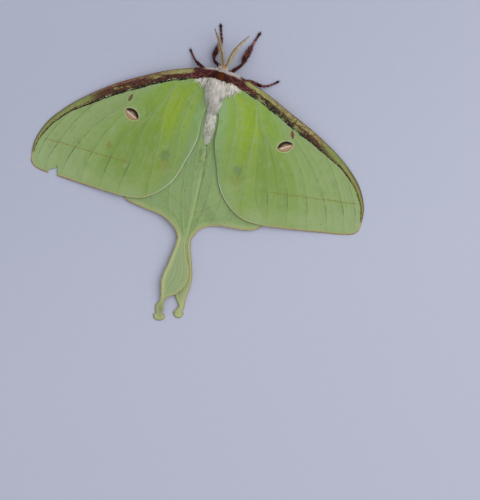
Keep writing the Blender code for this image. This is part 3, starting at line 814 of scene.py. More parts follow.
# %% Add a node
def feed(tree, socket, value):
    if isinstance(value, Term):
        tree.links.new(value.output, socket)
    else:
        socket.default_value = value


def set_stops(ramp, stops):
    while len(ramp.elements) < len(stops):
        ramp.elements.new(0.5)
    for element, (place, colour) in zip(ramp.elements, stops):
        element.position, element.color = place, colour


def add(tree, kind, settings=None, sockets=None, out=0):
    """Adds one node: its settings or a ramp's stops first, then the values or links of its sockets."""
    node = tree.nodes.new(kind)
    for key, value in (settings or {}).items():
        if key == "stops":
            set_stops(node.color_ramp, value)
        else:
            setattr(node, key, value)
    for key, value in (sockets or {}).items():
        feed(tree, node.inputs[key], value)
    return Term(tree, node.outputs[out])


print("add() makes any other node")


# %% Short words for the nodes used most
def fade(value, low, high):
    """0 at low and 1 at high, with soft ends. low may be the larger."""
    if low > high:
        return 1.0 - fade(value, high, low)
    settings = {"interpolation_type": "SMOOTHSTEP", "clamp": True}
    sockets = {"Value": value, "From Min": low, "From Max": high}
    return add(value.tree, "ShaderNodeMapRange", settings, sockets)


def blend(share, first, second):
    """The colour first where share is 0 and second where it is 1."""
    sockets = {0: share, 6: first, 7: second}
    return add(share.tree, "ShaderNodeMix", {"data_type": "RGBA"}, sockets, out=2)


def combine(x, y, z):
    return add(x.tree, "ShaderNodeCombineXYZ", {}, {0: x, 1: y, 2: z})


def dim(colour, share):
    """The colour times a number."""
    settings = {"data_type": "RGBA", "blend_type": "MULTIPLY"}
    sockets = {0: 1.0, 6: colour, 7: combine(share, share, share)}
    return add(share.tree, "ShaderNodeMix", settings, sockets, out=2)


def scaled(vector, factor):
    return add(vector.tree, "ShaderNodeVectorMath", {"operation": "SCALE"}, {0: vector, "Scale": factor})


def noise(vector, scale, detail=3.0, rough=0.55):
    sockets = {"Vector": vector, "Scale": scale, "Detail": detail, "Roughness": rough}
    return add(vector.tree, "ShaderNodeTexNoise", {}, sockets)


def stored(tree, name, out="Fac"):
    """A number that each point of the mesh stores."""
    return add(tree, "ShaderNodeAttribute", {"attribute_name": name}, out=out)


def paint(red, green, blue):
    """A colour from 0-255 values as printed in a colour chart, made linear."""
    linear = [((c / 255 + 0.055) / 1.055) ** 2.4 if c > 10 else c / 255 / 12.92 for c in (red, green, blue)]
    return (*linear, 1.0)


print("colour chart: leaf green is", [round(c, 3) for c in paint(135, 160, 95)[:3]])


# %% A finish
class Finish:
    """A material with a Principled shader, whose inputs are set by name."""

    def __init__(self, name):
        self.material = bpy.data.materials.new(name)
        self.material.use_nodes = True
        self.tree = self.material.node_tree
        self.shader = self.tree.nodes["Principled BSDF"]
        metres = add(self.tree, "ShaderNodeTexCoord", out="Object")
        self.place = scaled(metres, 1 / MM)
        self.x, self.y, self.z = (
            add(self.tree, "ShaderNodeSeparateXYZ", {}, {0: self.place}, out=axis) for axis in range(3))
        self.y = self.y - collar_y

    def set(self, **inputs):
        for key, value in inputs.items():
            feed(self.tree, self.shader.inputs[key.replace("_", " ")], value)
        return self.material

    def bump(self, height, strength, distance=0.05 * MM):
        sockets = {"Height": height, "Strength": strength, "Distance": distance}
        feed(self.tree, self.shader.inputs["Normal"], add(self.tree, "ShaderNodeBump", {}, sockets))

    def tone_and_painted_shade(self, colour, tips):
        """Each tuft has its own tone, and is lighter at its tip by tips: painted shade deep in the coat."""
        tip = add(self.tree, "ShaderNodeSeparateXYZ", {}, {0: stored(self.tree, "leaf", "Vector")}, out="Y")
        return dim(colour, stored(self.tree, "shade") * (tip * tips + 1.0))


print("a finish reads its place in mm from the collar")

# %% [markdown]
# ## The wing's greens
#
# The pale green of a luna moth is never flat. A saturated yellow-green streak runs from the root between
# two veins, the front of the wing is cool and pale, and everything greys towards the margin. These zones
# lie between veins, so a ramp over the stored `flow` gives them: one ramp near the root, another further
# out. A mask then lays the dusty grey over both, and streaks and a soft mottle break it all up. Veins are
# thin: pale with a dark core near the root, then dark.

# %% Mix the greens
GREEN_DUSTY = paint(149, 171, 112)
GREEN_PALE = paint(170, 188, 144)
GREEN_HIND = paint(137, 164, 115)
GREEN_HIND_FRESH = paint(141, 169, 104)
GREEN_DARK = paint(92, 124, 70)
MOTTLE_DEEP, MOTTLE_PALE = paint(118, 152, 62), paint(150, 170, 126)
SLATE = paint(72, 96, 84)
# From the rear of the wing, 0, to its front, 1.
NEAR_ROOT = [(0.0, paint(140, 172, 110)), (0.06, paint(138, 170, 98)), (0.13, paint(141, 171, 74)),
             (0.19, paint(148, 175, 50)), (0.29, paint(143, 171, 56)), (0.37, paint(139, 169, 70)),
             (0.50, paint(136, 169, 78)), (0.66, paint(143, 173, 104)), (0.85, paint(150, 174, 124)),
             (1.0, paint(148, 172, 126))]
FAR_OUT = [(0.0, paint(128, 158, 96)), (0.12, paint(132, 160, 80)), (0.20, paint(136, 163, 70)),
           (0.30, paint(126, 155, 64)), (0.42, paint(122, 150, 58)), (0.50, paint(129, 159, 66)),
           (0.58, paint(139, 166, 90)), (0.68, paint(138, 163, 96)), (0.80, paint(146, 168, 112)),
           (1.0, paint(148, 170, 120))]


def streaks(flow, reach):
    """Long soft streaks and fine ones, along the way the scales lie."""
    broad = noise(combine(flow * 26.0, reach * 0.07, 0.0), 1.0, 2.0)
    fine = noise(combine(flow * 150.0, reach * 0.25, 3.0), 1.0, 3.0, 0.65)
    return broad, fine


def green_ground(finish, forewing, vein, flow, reach):
    """The plain green, before any marking."""
    tree = finish.tree
    broad, fine = streaks(flow, reach)
    cloud = noise(finish.place, 0.13, 3.0)
    if forewing:
        lane = flow + (broad - 0.5) * 0.10
        near = add(tree, "ShaderNodeValToRGB", {"stops": NEAR_ROOT}, {0: lane})
        far = add(tree, "ShaderNodeValToRGB", {"stops": FAR_OUT}, {0: lane})
        colour = blend(fade(reach + (cloud - 0.5) * 14.0, 11.0, 25.0), near, far)
    else:
        colour = blend(fade(broad, 0.35, 0.65), GREEN_HIND, GREEN_HIND_FRESH)
    dusty = fade(reach + (cloud - 0.5) * 26.0 + (broad - 0.5) * 12.0, 14.0, 44.0)
    fresh = fade(flow, 0.12, 0.26) * fade(flow, 0.64, 0.50)
    colour = blend(dusty * (0.74 - fresh * 0.26), colour, GREEN_DUSTY)
    colour = blend(fade(fine + (cloud - 0.5) * 0.3, 0.52, 0.78) * 0.30, colour, GREEN_PALE)
    colour = blend(fade(fine - (cloud - 0.5) * 0.3, 0.46, 0.24) * 0.30, colour, GREEN_DARK)
    mottle = noise(finish.place, 0.42, 4.0, 0.68)
    colour = blend(fade(mottle, 0.50, 0.64) * 0.24, colour, MOTTLE_DEEP)
    colour = blend(fade(mottle, 0.48, 0.36) * 0.24, colour, MOTTLE_PALE)
    return vein_colour(finish, colour, vein, reach)


def vein_colour(finish, colour, vein, reach):
    patchy = noise(finish.place, 0.5, 2.0)
    halo = fade(vein, 0.42, 0.12) * fade(reach, 40.0, 14.0)
    colour = blend(halo * (patchy * 0.6 + 0.06), colour, GREEN_PALE)
    core = fade(vein, 0.19, 0.05) * (fade(patchy, 0.35, 0.6) * 0.40 + 0.18)
    return blend(core, colour, GREEN_DARK)


print(len(NEAR_ROOT), "greens lie side by side near the root,", len(FAR_OUT), "further out")

# %% [markdown]
# ## The leading edge
#
# Along the costa lie, from the outside in: a brown hairline, a straw strip that turns tan in the middle
# of the left wing and olive on the right one, a mottled wine-red strip, and a black one dusted with
# yellow scales. Past the middle the red stops and green runs on with a dark inner line, and a brown outer
# one near the tip. The stored `across` is the share of the band's width, so masks on it draw all the
# strips. The noise that breaks their borders is stretched along the edge, the way the scales lie there.
# Each strip has its own short function.

# %% Mix the costa's colours
BROWN = paint(96, 66, 42)
WINE = paint(78, 28, 28)
WINE_PINK = paint(168, 106, 98)
SOOT = paint(32, 23, 17)
MOSS = paint(166, 168, 96)
STRAW = paint(164, 164, 104)
TAN = paint(146, 112, 86)
OLIVE = paint(168, 158, 106)
RED_BROWN = paint(102, 60, 48)
WINE_FAR = {LEFT: paint(80, 40, 32), RIGHT: paint(58, 42, 26)}
WINE_LATE = paint(80, 42, 32)
COSTA_GREEN, COSTA_DRAB = paint(136, 154, 86), paint(112, 96, 60)
CREAM = paint(214, 214, 194)
RUST = paint(130, 66, 4)
FACE = paint(218, 208, 200)
WOOL = paint(246, 242, 236)


print("the darkest colour of the costa is", [round(c, 3) for c in SOOT[:3]])


# %% The strips of the costa
GREEN_STARTS, GREEN_ALONE = 0.54, 0.65  # shares of the way out
ROOT_END, FACE_END = 8.8, 5.4  # mm out from the middle


def costal_noise(finish, costa, along):
    """Fine grain, flecks and broad patches, all stretched along the edge."""
    grain = noise(combine(along * 44.0, costa * 2.2, 0.0), 1.0, 4.0, 0.7)
    fleck = noise(combine(along * 100.0, costa * 5.0, 1.0), 1.0, 2.0, 0.6)
    patch = noise(combine(along * 16.0, costa * 0.7, finish.x * 0.02 + 2.0), 1.0, 2.0, 0.6)
    return grain, fleck, patch


def straw_strip(right, middle, grain, fleck):
    straw = blend(middle, STRAW, blend(right, TAN, OLIVE))
    rusty = blend(right, RED_BROWN, BROWN)
    return blend(fade(grain * 0.6 + fleck * 0.4, 0.46, 0.55) * (middle * 0.45 + 0.35), straw, rusty)


def wine_strip(right, out, along, grain, fleck, patch):
    """Wine red with pink flecks near the body, then darker, with black grain, mossy gaps and specks."""
    far = blend(right, WINE_FAR[LEFT], WINE_FAR[RIGHT])
    far = blend(right * fade(along + (grain - 0.5) * 0.2, 0.36, 0.44), far, WINE_LATE)
    wine = blend(fade(out + right * 5.0 + (grain - 0.5) * 6.0, 13.0, 20.0), WINE, far)
    wine = blend(fade(fleck, 0.55, 0.65) * fade(out, 14.0, 9.0) * 0.7, wine, WINE_PINK)
    wine = blend(fade(grain, 0.48, 0.38) * fade(out, 8.0, 12.0) * 0.85, wine, SOOT)
    gaps = fade(patch + right * 0.04 + (fleck - 0.5) * 0.2, 0.58, 0.66) * fade(out, 9.5, 11.5)
    wine = blend(gaps * 0.85, wine, blend(fade(grain, 0.45, 0.6), MOSS, BROWN))
    specks = fade(fleck * 0.7 + grain * 0.3, 0.53, 0.60) * fade(out, 8.0, 12.0)
    return blend(specks * (right * 0.35 + 0.2), wine, MOSS)


def near_band(across, inner, straw, wine, fleck, patch):
    """The strips side by side, with a dusty black inner edge and its cream glints."""
    dust = blend(fade(fleck + (patch - 0.5) * 0.7, 0.54, 0.62) * 0.8, SOOT, MOSS)
    band = blend(fade(inner, 0.34, 0.46), straw, wine)
    band = blend(fade(across, 0.74, 0.82), band, dust)
    band = blend(fade(across, 0.90, 0.96), band, SOOT)
    glints = fade(across, 0.82, 0.86) * fade(across, 0.95, 0.91) * fade(fleck, 0.54, 0.60)
    return blend(glints * fade(patch, 0.42, 0.56) * 0.8, band, CREAM)


def far_band(right, across, along, grain, fleck):
    """Green, with a dark inner line that thins towards the tip, and a brown outer one that takes over."""
    green = blend(fade(grain * 0.5 + fleck * 0.5, 0.46, 0.58) * 0.6, COSTA_GREEN, COSTA_DRAB)
    green = blend(fade(across, 0.62, 0.72), green, blend(fade(fleck, 0.5, 0.6), BROWN, MOSS))
    thin = fade(along + right * 0.09, 0.93, 0.84) * (0.7 + right * 0.1) + 0.3 - right * 0.1
    green = blend(fade(across, 0.80, 0.88) * thin, green, SOOT)
    outer = fade(across, 0.42, 0.18) * fade(along, 0.68, 0.78) * (right * 0.45 + 0.25)
    green = blend(outer, green, BROWN)
    pale = fade(abs(across - 0.58), 0.22, 0.06) * right * fade(along, 0.62, 0.72)
    return blend(pale * 0.45, green, MOSS)


print("red gives way to green between", GREEN_STARTS, "and", GREEN_ALONE, "of the way out")


# %% Paint the costa
def costal_colour(finish, colour, costa, across, along):
    """The whole leading edge, from the collar's speckled red and the pale face to the wing's tip."""
    out, right = abs(finish.x), fade(finish.x, -2.0, 2.0)
    grain, fleck, patch = costal_noise(finish, costa, along)
    across = across + (grain - 0.5) * 0.40 + (patch - 0.5) * 0.22
    middle = fade(along, 0.18, 0.34)
    inner = across + middle * (1.0 - right) * 0.20
    straw = straw_strip(right, middle, grain, fleck)
    wine = wine_strip(right, out, along, grain, fleck, patch)
    late = fade(along + right * 0.01 + (patch - 0.5) * 0.12, GREEN_STARTS, GREEN_ALONE)
    band = near_band(across, inner, straw, wine, fleck, patch)
    band = blend(late, band, far_band(right, across, along, grain, fleck))
    root = fade(out + (patch - 0.5) * 3.0, ROOT_END, ROOT_END - 1.6)
    speckled = blend(fade(fleck * 0.5 + grain * 0.5, 0.50, 0.60) * 0.85, WINE, WINE_PINK)
    band = blend(root, band, speckled)
    brow = costa - right * 0.3 + (grain - 0.5) * 0.7
    face = fade(brow, 0.75, 0.35) * fade(out - right * 1.6 + (grain - 0.5) * 2.0, FACE_END, FACE_END - 1.6)
    band = blend(face * 0.9, band, FACE)
    band = blend(fade(costa, 0.34, 0.14) * (1.0 - face) * 0.7, band, BROWN)
    behind = fade(across, 1.50, 1.15) * fade(out + (grain - 0.5) * 3.0, 7.6, 5.6)
    colour = blend(behind * 0.75, colour, WOOL)
    return blend(fade(across, 1.04, 0.99), colour, band)


print("speckled red ends", ROOT_END, "mm out and the face's pale fur", FACE_END, "mm out")

# %% [markdown]
# ## The eyespots
#
# Each forewing has a small almond-shaped eyespot with a clear window, edged in black on the side of the
# root, and a short dark leaf-shaped mark on a thin stalk between it and the costa. An almond is where two
# circles overlap, so one function gives the distance inside that shape, and the rings of colour are steps
# of that distance.

# %% Paint the eyespots
OCHRE = paint(134, 128, 52)
EYESPOT = {"x": 23.1, "y": -15.9, "length": 4.9, "width": 3.0, "tilt": 28.0}
LEAF_MARK = {"x": 24.5, "y": -11.3, "length": 2.7, "width": 1.2, "tilt": -72.0, "lower_right": 0.8}
HIND_SPOT = {"x": 11.0, "y": -26.6, "length": 3.6, "width": 3.0, "tilt": 40.0}
SPOT_BROWN, SPOT_TAN, SPOT_EDGE = paint(112, 82, 50), paint(174, 144, 114), paint(142, 106, 56)
SPOT_STRIPE, SPOT_WINDOW = paint(216, 196, 182), paint(156, 150, 112)
LEAF_BROWN = {LEFT: paint(98, 86, 52), RIGHT: paint(112, 66, 44)}
HIND_SPOT_TAN, HIND_SPOT_WINDOW = paint(176, 128, 84), paint(200, 190, 150)


def almond(finish, mark):
    """Where a point is on an almond-shaped mark: along it, across it and how far inside its edge, in mm."""
    tilt = math.radians(mark["tilt"])
    x, y = abs(finish.x) - mark["x"], finish.y - mark["y"]
    y = y + fade(finish.x, -1.0, 1.0) * mark.get("lower_right", 0.0)
    along = x * math.cos(tilt) + y * math.sin(tilt)
    across = y * math.cos(tilt) - x * math.sin(tilt)
    half, wide = mark["length"] / 2, mark["width"] / 2
    radius = (half**2 + wide**2) / (2 * wide)
    gaps = []
    for centre in (radius - wide, wide - radius):
        offset = across + centre
        square = along * along + offset * offset
        gaps.append(square.math("SQRT", square))
    return along, across, radius - gaps[0].math("MAXIMUM", *gaps)


def eyespot_colour(finish, colour):
    along, across, inside = almond(finish, EYESPOT)
    fleck = (noise(finish.place, 3.0, 3.0) - 0.5) * 0.25
    inside = inside + fleck * 0.4
    colour = blend(fade(inside, -0.45, -0.18) * 0.4, colour, CREAM)
    colour = blend(fade(inside, -0.22, -0.06) * 0.7, colour, STRAW)
    spot = blend(fade(across + fleck, 0.30, -0.25), SPOT_BROWN, SPOT_TAN)
    stripe = fade(abs(across + 0.22 + fleck), 0.32, 0.12) * fade(abs(along + fleck), 1.9, 1.2)
    spot = blend(stripe * 0.9, spot, SPOT_STRIPE)
    window = fade(abs(across - 0.28), 0.24, 0.12) * fade(abs(along - 0.1), 0.75, 0.4)
    spot = blend(window * 0.7, spot, SPOT_WINDOW)
    crescent = fade(inside, 0.82, 0.62) * fade(across, -0.05, 0.25)
    spot = blend(crescent, spot, SOOT)
    lower_edge = fade(inside, 0.34, 0.14) * fade(across, 0.2, -0.1)
    spot = blend(lower_edge * 0.8, spot, SPOT_EDGE)
    colour = blend(fade(inside, -0.06, 0.04), colour, spot)
    return leaf_colour(finish, colour, fleck)


def leaf_colour(finish, colour, fleck):
    along, across, leaf = almond(finish, LEAF_MARK)
    colour = blend(fade(leaf + fleck, -0.35, -0.05) * 0.5, colour, GREEN_PALE)
    stalk = fade(abs(across), 0.20, 0.08) * fade(along, 0.6, 0.2) * fade(along, -3.0, -2.6)
    colour = blend(stalk * 0.75, colour, OCHRE)
    brown = blend(fade(finish.x, -1.0, 1.0), LEAF_BROWN[LEFT], LEAF_BROWN[RIGHT])
    return blend(fade(leaf + fleck, -0.04, 0.08) * 0.9, colour, brown)


def hind_eyespot(finish, colour):
    _, across, inside = almond(finish, HIND_SPOT)
    colour = blend(fade(inside, -0.4, -0.1) * 0.6, colour, CREAM)
    eye = blend(fade(across, -0.3, 0.3), HIND_SPOT_TAN, SOOT)
    eye = blend(fade(inside, 0.75, 0.95), eye, HIND_SPOT_WINDOW)
    return blend(fade(inside, 0.0, 0.12), colour, eye)


print("eyespot", EYESPOT["length"], "x", EYESPOT["width"], "mm")

# %% [markdown]
# ## The whole wing finish
#
# Now the parts are put together: green ground, the thin ochre line across the wing with the blue-grey
# dashes beyond it, costa, eyespot, golden margins, the pale inner edge, and near the body the white that
# the wool takes over. The underside of a moth's wing is paler and lacks the fresh yellow, so the stored
# `upper` greys it. A real wing also has stains and freckles, so a few are added. The hindwing's eyespot
# shows through each forewing as painted shade, a grey cloud with an ochre tint behind it.

# %% Lines, stains and a painted show-through on the wings
BUFF = paint(190, 168, 118)
TAIL_PALE, TAIL_MARGIN = paint(158, 174, 130), paint(190, 192, 132)
# Painted show-through: the hindwing's eyespot beneath shows on each forewing as grey shade and ochre.
EYESPOT_SHOW_THROUGH = (11.0, -25.8)  # mm out and along y, a grey cloud on each forewing
SHOW_THROUGH_OCHRE = (11.0, -28.6)  # an ochre one behind it
BLOTCH = (27.8, -26.2)  # a small ochre spot on the left forewing only


def from_mark(finish, mark):
    """Distances outwards and along y from a mark, each squared."""
    x, y = abs(finish.x) - mark[0], finish.y - mark[1]
    return x * x, y * y


def forewing_lines(finish, colour, vein, blot):
    """The ochre line, the dashes beyond it, the eyespot's painted show-through and the blotch."""
    out = abs(finish.x)
    line = finish.y + 31.6 - out * 0.075 + (blot - 0.5) * 1.1
    ochre = fade(abs(line), 0.30, 0.06) * fade(out, 17.0, 24.0) * fade(out, 49.0, 46.0)
    dash = fade(vein, 0.24, 0.06) * fade(line, 1.2, -0.6) * fade(line, -6.5, -2.5)
    dash = dash * fade(noise(finish.place, 0.45, 2.0), 0.36, 0.52) * fade(out, 17.0, 21.0)
    # Painted shade and ochre where the hindwing's eyespot shows through the forewing.
    x2, y2 = from_mark(finish, EYESPOT_SHOW_THROUGH)
    show_through_shade = fade(x2 + y2 + (blot - 0.5) * 8.0, 4.5, 0.0)
    x2, y2 = from_mark(finish, SHOW_THROUGH_OCHRE)
    tint = fade(x2 + y2, 6.0, 0.5)
    x2, y2 = from_mark(finish, BLOTCH)
    blotch = fade(x2 * 1.2 + y2 * 0.4 + (blot - 0.5) * 3.0, 1.2, 0.0) * fade(finish.x, 0.0, -1.0)
    colour = blend(ochre * 0.62, colour, OCHRE)
    colour = blend(dash * 0.6, colour, SLATE)
    colour = blend(show_through_shade * 0.36, colour, SLATE)
    colour = blend(tint * 0.28, colour, OCHRE)
    return blend(blotch * 0.6, colour, OCHRE)


def hindwing_lines(finish, colour, rim, blot):
    """The faint line, the paler tail with its own margin, and the hidden eyespot."""
    out = abs(finish.x)
    line = finish.y + 41.3 - out * 0.63 + (blot - 0.5) * 1.0
    ochre = fade(abs(line), 0.34, 0.08) * fade(out, 12.0, 9.0)
    colour = blend(ochre * 0.3, colour, OCHRE)
    tail = fade(finish.y, -45.0, -50.0)
    colour = blend(tail * 0.75, colour, TAIL_PALE)
    tail_margin = tail * fade(rim + (blot - 0.5) * 0.6, 1.25, 0.5)
    colour = blend(tail_margin * 0.65, colour, TAIL_MARGIN)
    return hind_eyespot(finish, colour)


print("smudge, tint and blotch at", EYESPOT_SHOW_THROUGH, SHOW_THROUGH_OCHRE, BLOTCH)


# %% Margins of the wings
HAZE = paint(146, 180, 126)
THREAD_FAR = paint(204, 192, 140)
HIND_MARGIN, HIND_FOLD = paint(184, 194, 138), paint(168, 186, 128)
UNDERSIDE = paint(178, 190, 150)


def forewing_edges(finish, colour, rim, hem, along, grain, blot):
    """A brown hairline outside, and a thread of cream on the inner edge, which starts later on the right."""
    colour = blend(fade(rim + (grain - 0.5) * 0.25, 0.18, 0.06) * 0.25, colour, BROWN)
    hemmed = fade(hem + (blot - 0.5) * 0.2, 0.30, 0.12) * fade(along, 0.99, 0.94)
    later = fade(finish.x, -1.0, 1.0) * 12.0
    hemmed = hemmed * (fade(finish.y + later, -13.0, -21.0) * 0.65 + 0.12)
    thread = blend(fade(along + (blot - 0.5) * 0.1, 0.66, 0.80), CREAM, THREAD_FAR)
    return blend(hemmed, colour, thread)


def hindwing_edges(finish, colour, rim, hem, blot):
    """A pale strip inside the margin, a pale fold along the body, and buff inner edges on the tails."""
    pale = fade(rim + (blot - 0.5) * 0.8, 2.0, 0.4) * fade(rim, 0.3, 0.5)
    colour = blend(pale * 0.4, colour, HIND_MARGIN)
    folded = fade(hem, 1.4, 0.3) * fade(finish.y, -14.0, -30.0)
    colour = blend(folded * 0.55, colour, HIND_FOLD)
    edged = fade(hem, 0.40, 0.20) * fade(finish.y, -50.0, -56.0)
    return blend(edged * 0.45, colour, BUFF)


print("a margin's buff is", [round(c, 2) for c in BUFF[:3]])


# %% Write the wing finish
def forewing_top(finish, colour, rim, along, blot):
    """Haze beside the body, a pale rim, the eyespot and the costa."""
    costa, across = stored(finish.tree, "costa"), stored(finish.tree, "across")
    beside = abs(finish.x - MIDLINE) - finish.y * 0.17 + (blot - 0.5) * 1.6
    haze = fade(beside, 7.0, 4.6) * fade(finish.y, -15.0, -9.0)
    colour = blend(haze * 0.4, colour, HAZE)
    colour = blend(fade(rim + (blot - 0.5) * 4.0, 8.0, 1.5) * 0.25, colour, GREEN_PALE)
    colour = eyespot_colour(finish, colour)
    return costal_colour(finish, colour, costa, across, along)


def wing_finish(name, forewing):
    finish = Finish(name)
    tree, place = finish.tree, finish.place
    vein, flow, reach, rim, hem = (stored(tree, key) for key in ("vein", "flow", "reach", "rim", "hem"))
    grain, blot = noise(place, 3.2, 4.0, 0.7), noise(place, 1.1, 3.0)
    colour = green_ground(finish, forewing, vein, flow, reach)
    if forewing:
        colour = forewing_lines(finish, colour, vein, blot)
    else:
        colour = hindwing_lines(finish, colour, rim, blot)
    white = fade(stored(tree, "wool") + (grain - 0.5) * 0.5, 0.35, 0.85)
    colour = blend(white * (0.85 if forewing else 0.3), colour, WOOL)
    if forewing:
        along = stored(tree, "along")
        colour = forewing_top(finish, colour, rim, along, blot)
    margin = fade(rim + (blot - 0.5) * 0.25, 0.48, 0.16) * (fade(finish.y, -52.0, -44.0) * 0.5 + 0.3)
    colour = blend(margin, colour, BUFF)
    if forewing:
        colour = forewing_edges(finish, colour, rim, hem, along, grain, blot)
    else:
        colour = hindwing_edges(finish, colour, rim, hem, blot)
    freckles = fade(noise(place, 0.95, 1.0), 0.765, 0.785)
    colour = blend(freckles * 0.5, colour, BROWN)
    colour = blend(fade(stored(tree, "upper"), 0.6, 0.4) * 0.3, colour, UNDERSIDE)
    _, fine = streaks(flow, reach)
    finish.bump(fine * 0.6 + grain * 0.6, 0.3)
    dusted = dim(finish.tone_and_painted_shade(colour, 0.15), grain * 0.26 + 0.87)
    return finish.set(Base_Color=dusted, Roughness=0.62 + grain * 0.25, Specular_IOR_Level=0.3)


fore_finish = wing_finish("forewing_scales", True)
hind_finish = wing_finish("hindwing_scales", False)
for side in (LEFT, RIGHT):
    forewings[side].data.materials.append(fore_finish)
    hindwings[side].data.materials.append(hind_finish)
print("forewing finish has", len(fore_finish.node_tree.nodes), "nodes")

# %% [markdown]
# ## The body's colours
#
# The thorax and abdomen wear white wool, with painted shade: grey in its depths and dark clefts between
# its locks. Across the front lies the collar, a band of short wine-red fur with an orange-brown spot in
# the middle, which runs on into the leading edges of the wings. Skin and coat share each finish, so bare
# skin never shows as another colour, only darker, a painted shade under the coat. Light also passes
# through fine white hair and fills its shadows; a faint glow in the coat's own colour stands for that.

# %% Write the body finish
WOOL_GREY, WOOL_PAINTED_SHADE = paint(222, 218, 212), paint(168, 166, 158)
CLEFT_PAINTED_SHADE, BELLY_GREEN, YOKE = paint(112, 108, 102), paint(206, 214, 190), paint(206, 190, 130)
AMBER = paint(200, 156, 104)
RUST_DARK = paint(88, 42, 12)


def white_wool(finish, fine, locks):
    """White, with painted shade in its depths and clefts; greenish to the rear, straw behind the collar."""
    colour = blend(fade(locks + (fine - 0.5) * 0.4, 0.34, 0.56), WOOL_GREY, WOOL)
    # Painted shade: grey where the locks lie deep.
    colour = blend(fade(locks, 0.44, 0.30) * 0.8, colour, WOOL_PAINTED_SHADE)
    # Painted shade: dark clefts between the locks, strongest towards the collar.
    cleft_shade = noise(combine(finish.x * 1.3 - finish.y * 0.3, finish.y * 0.28, 5.0), 1.0, 2.0, 0.5)
    cleft_shade = fade(cleft_shade, 0.36, 0.30) * fade(finish.y, -12.0, -6.0)
    colour = blend(cleft_shade * 0.7, colour, CLEFT_PAINTED_SHADE)
    colour = blend(fade(finish.y, -9.0, -17.0) * 0.5, colour, BELLY_GREEN)
    behind = fade(finish.y, -3.4, -1.6) * fade(locks, 0.5, 0.62)
    return blend(behind * 0.4, colour, YOKE)


def collar_and_face(finish, colour, fine, locks):
    """The wine-red collar with its rusty middle, then the pale face and an amber spot."""
    ahead = finish.y - 0.1 + finish.x * finish.x * 0.006 + finish.x * 0.04 + (fine - 0.5) * 0.5
    ahead = ahead + (locks - 0.5)
    ragged = noise(combine(finish.x * 1.5, 0.0, 0.0), 1.0, 2.0, 0.6) - 0.5
    hem = ahead + ragged * 1.6 + fade(abs(finish.x - 1.8), 3.6, 1.6) * 0.4
    collar = fade(hem, -1.35, -1.15) * fade(ahead, 1.3, 1.05)
    wine = blend(fade(fine + (locks - 0.5) * 0.4, 0.56, 0.70) * 0.7, WINE, WINE_PINK)
    middle = finish.x - MIDLINE + (fine - 0.5) * 1.3 + (locks - 0.5) * 1.2
    rust = blend(fade(fine + (locks - 0.5) * 0.6, 0.42, 0.58), RUST, RUST_DARK)
    wine = blend(fade(abs(middle), 1.10, 0.70), wine, rust)
    colour = blend(collar, colour, wine)
    colour = blend(fade(ahead, 1.1, 1.35) * 0.8, colour, FACE)
    spot = fade(ahead, 2.1, 2.6) * fade(abs(finish.x - 0.85), 1.0, 0.5)
    return blend(spot * 0.8, colour, AMBER)


def body_finish(name):
    finish = Finish(name)
    fine = noise(finish.place, 2.4, 4.0, 0.7)
    locks = noise(combine(finish.x * 2.2, finish.y * 0.35, finish.z * 1.2), 1.0, 3.0, 0.6)
    colour = white_wool(finish, fine, locks)
    colour = collar_and_face(finish, colour, fine, locks)
    finish.bump(fine, 0.4)
    glow = finish.tone_and_painted_shade(colour, 0.12)
    rough = 0.8 + (fine - 0.5) * 0.2
    return finish.set(Base_Color=glow, Roughness=rough, Sheen_Weight=0.05, Specular_IOR_Level=0.2,
                      Emission_Color=glow, Emission_Strength=0.06)


wool = body_finish("body_wool")
body.data.materials.append(wool)
print("body finish has", len(wool.node_tree.nodes), "nodes")

# %% [markdown]
# ## The legs' colours
#
# The legs are wine red, nearly black on the feet, with pale pink-brown patches on the hairy tibia and at
# the joints of the foot. The finish reads how far along the leg it is from two stored numbers.

# %% Write the leg finish
LEG_DARK = paint(80, 18, 22)
LEG_PINK = paint(182, 124, 112)
FOOT_BLACK = paint(34, 14, 14)


def leg_finish(name):
    finish = Finish(name)
    tree, place = finish.tree, finish.place
    fine, patch = noise(place, 1.8, 4.0, 0.7), noise(place, 0.7, 2.0)
    foot, tibia = stored(tree, "foot"), stored(tree, "tibia")
    ringed = add(tree, "ShaderNodeMath", {"operation": "FRACT"}, {0: foot * FOOT_JOINTS})
    patches = fade(fine * 0.5 + patch * 0.5 + tibia * 0.03, 0.54, 0.64)
    colour = blend(patches * 0.8, LEG_DARK, LEG_PINK)
    pale = fade(ringed, 0.40, 0.1) * fade(foot, 0.0, 0.03) * fade(foot, 0.9, 0.6)
    colour = blend(pale * 0.5, colour, LEG_PINK)
    colour = blend(fade(foot, 0.5, 0.95) * 0.8, colour, FOOT_BLACK)
    finish.bump(fine, 0.4)
    coated = finish.tone_and_painted_shade(colour, 0.35)
    return finish.set(Base_Color=coated, Roughness=0.45 + fine * 0.3, Specular_IOR_Level=0.3)


leather = leg_finish("leg_cuticle")
for obj in legs.values():
    obj.data.materials.append(leather)
print("legs painted, foot joints", FOOT_JOINTS)

# %% [markdown]
# ## A tuft
#
# Hair is the same thing repeated thousands of times, so one small tuft is made well and then planted. A
# hair is a narrow three-sided spike of ten triangles that rises from the skin and bends down again. A
# lock is five such hairs that lean together at their tips. x counts tuft widths, y and z tuft lengths, so
# one template serves all sizes.

# %% Make the tufts
SIDES = 3
CORNERS = [2 * math.pi * k / SIDES + math.pi / 6 for k in range(SIDES)]


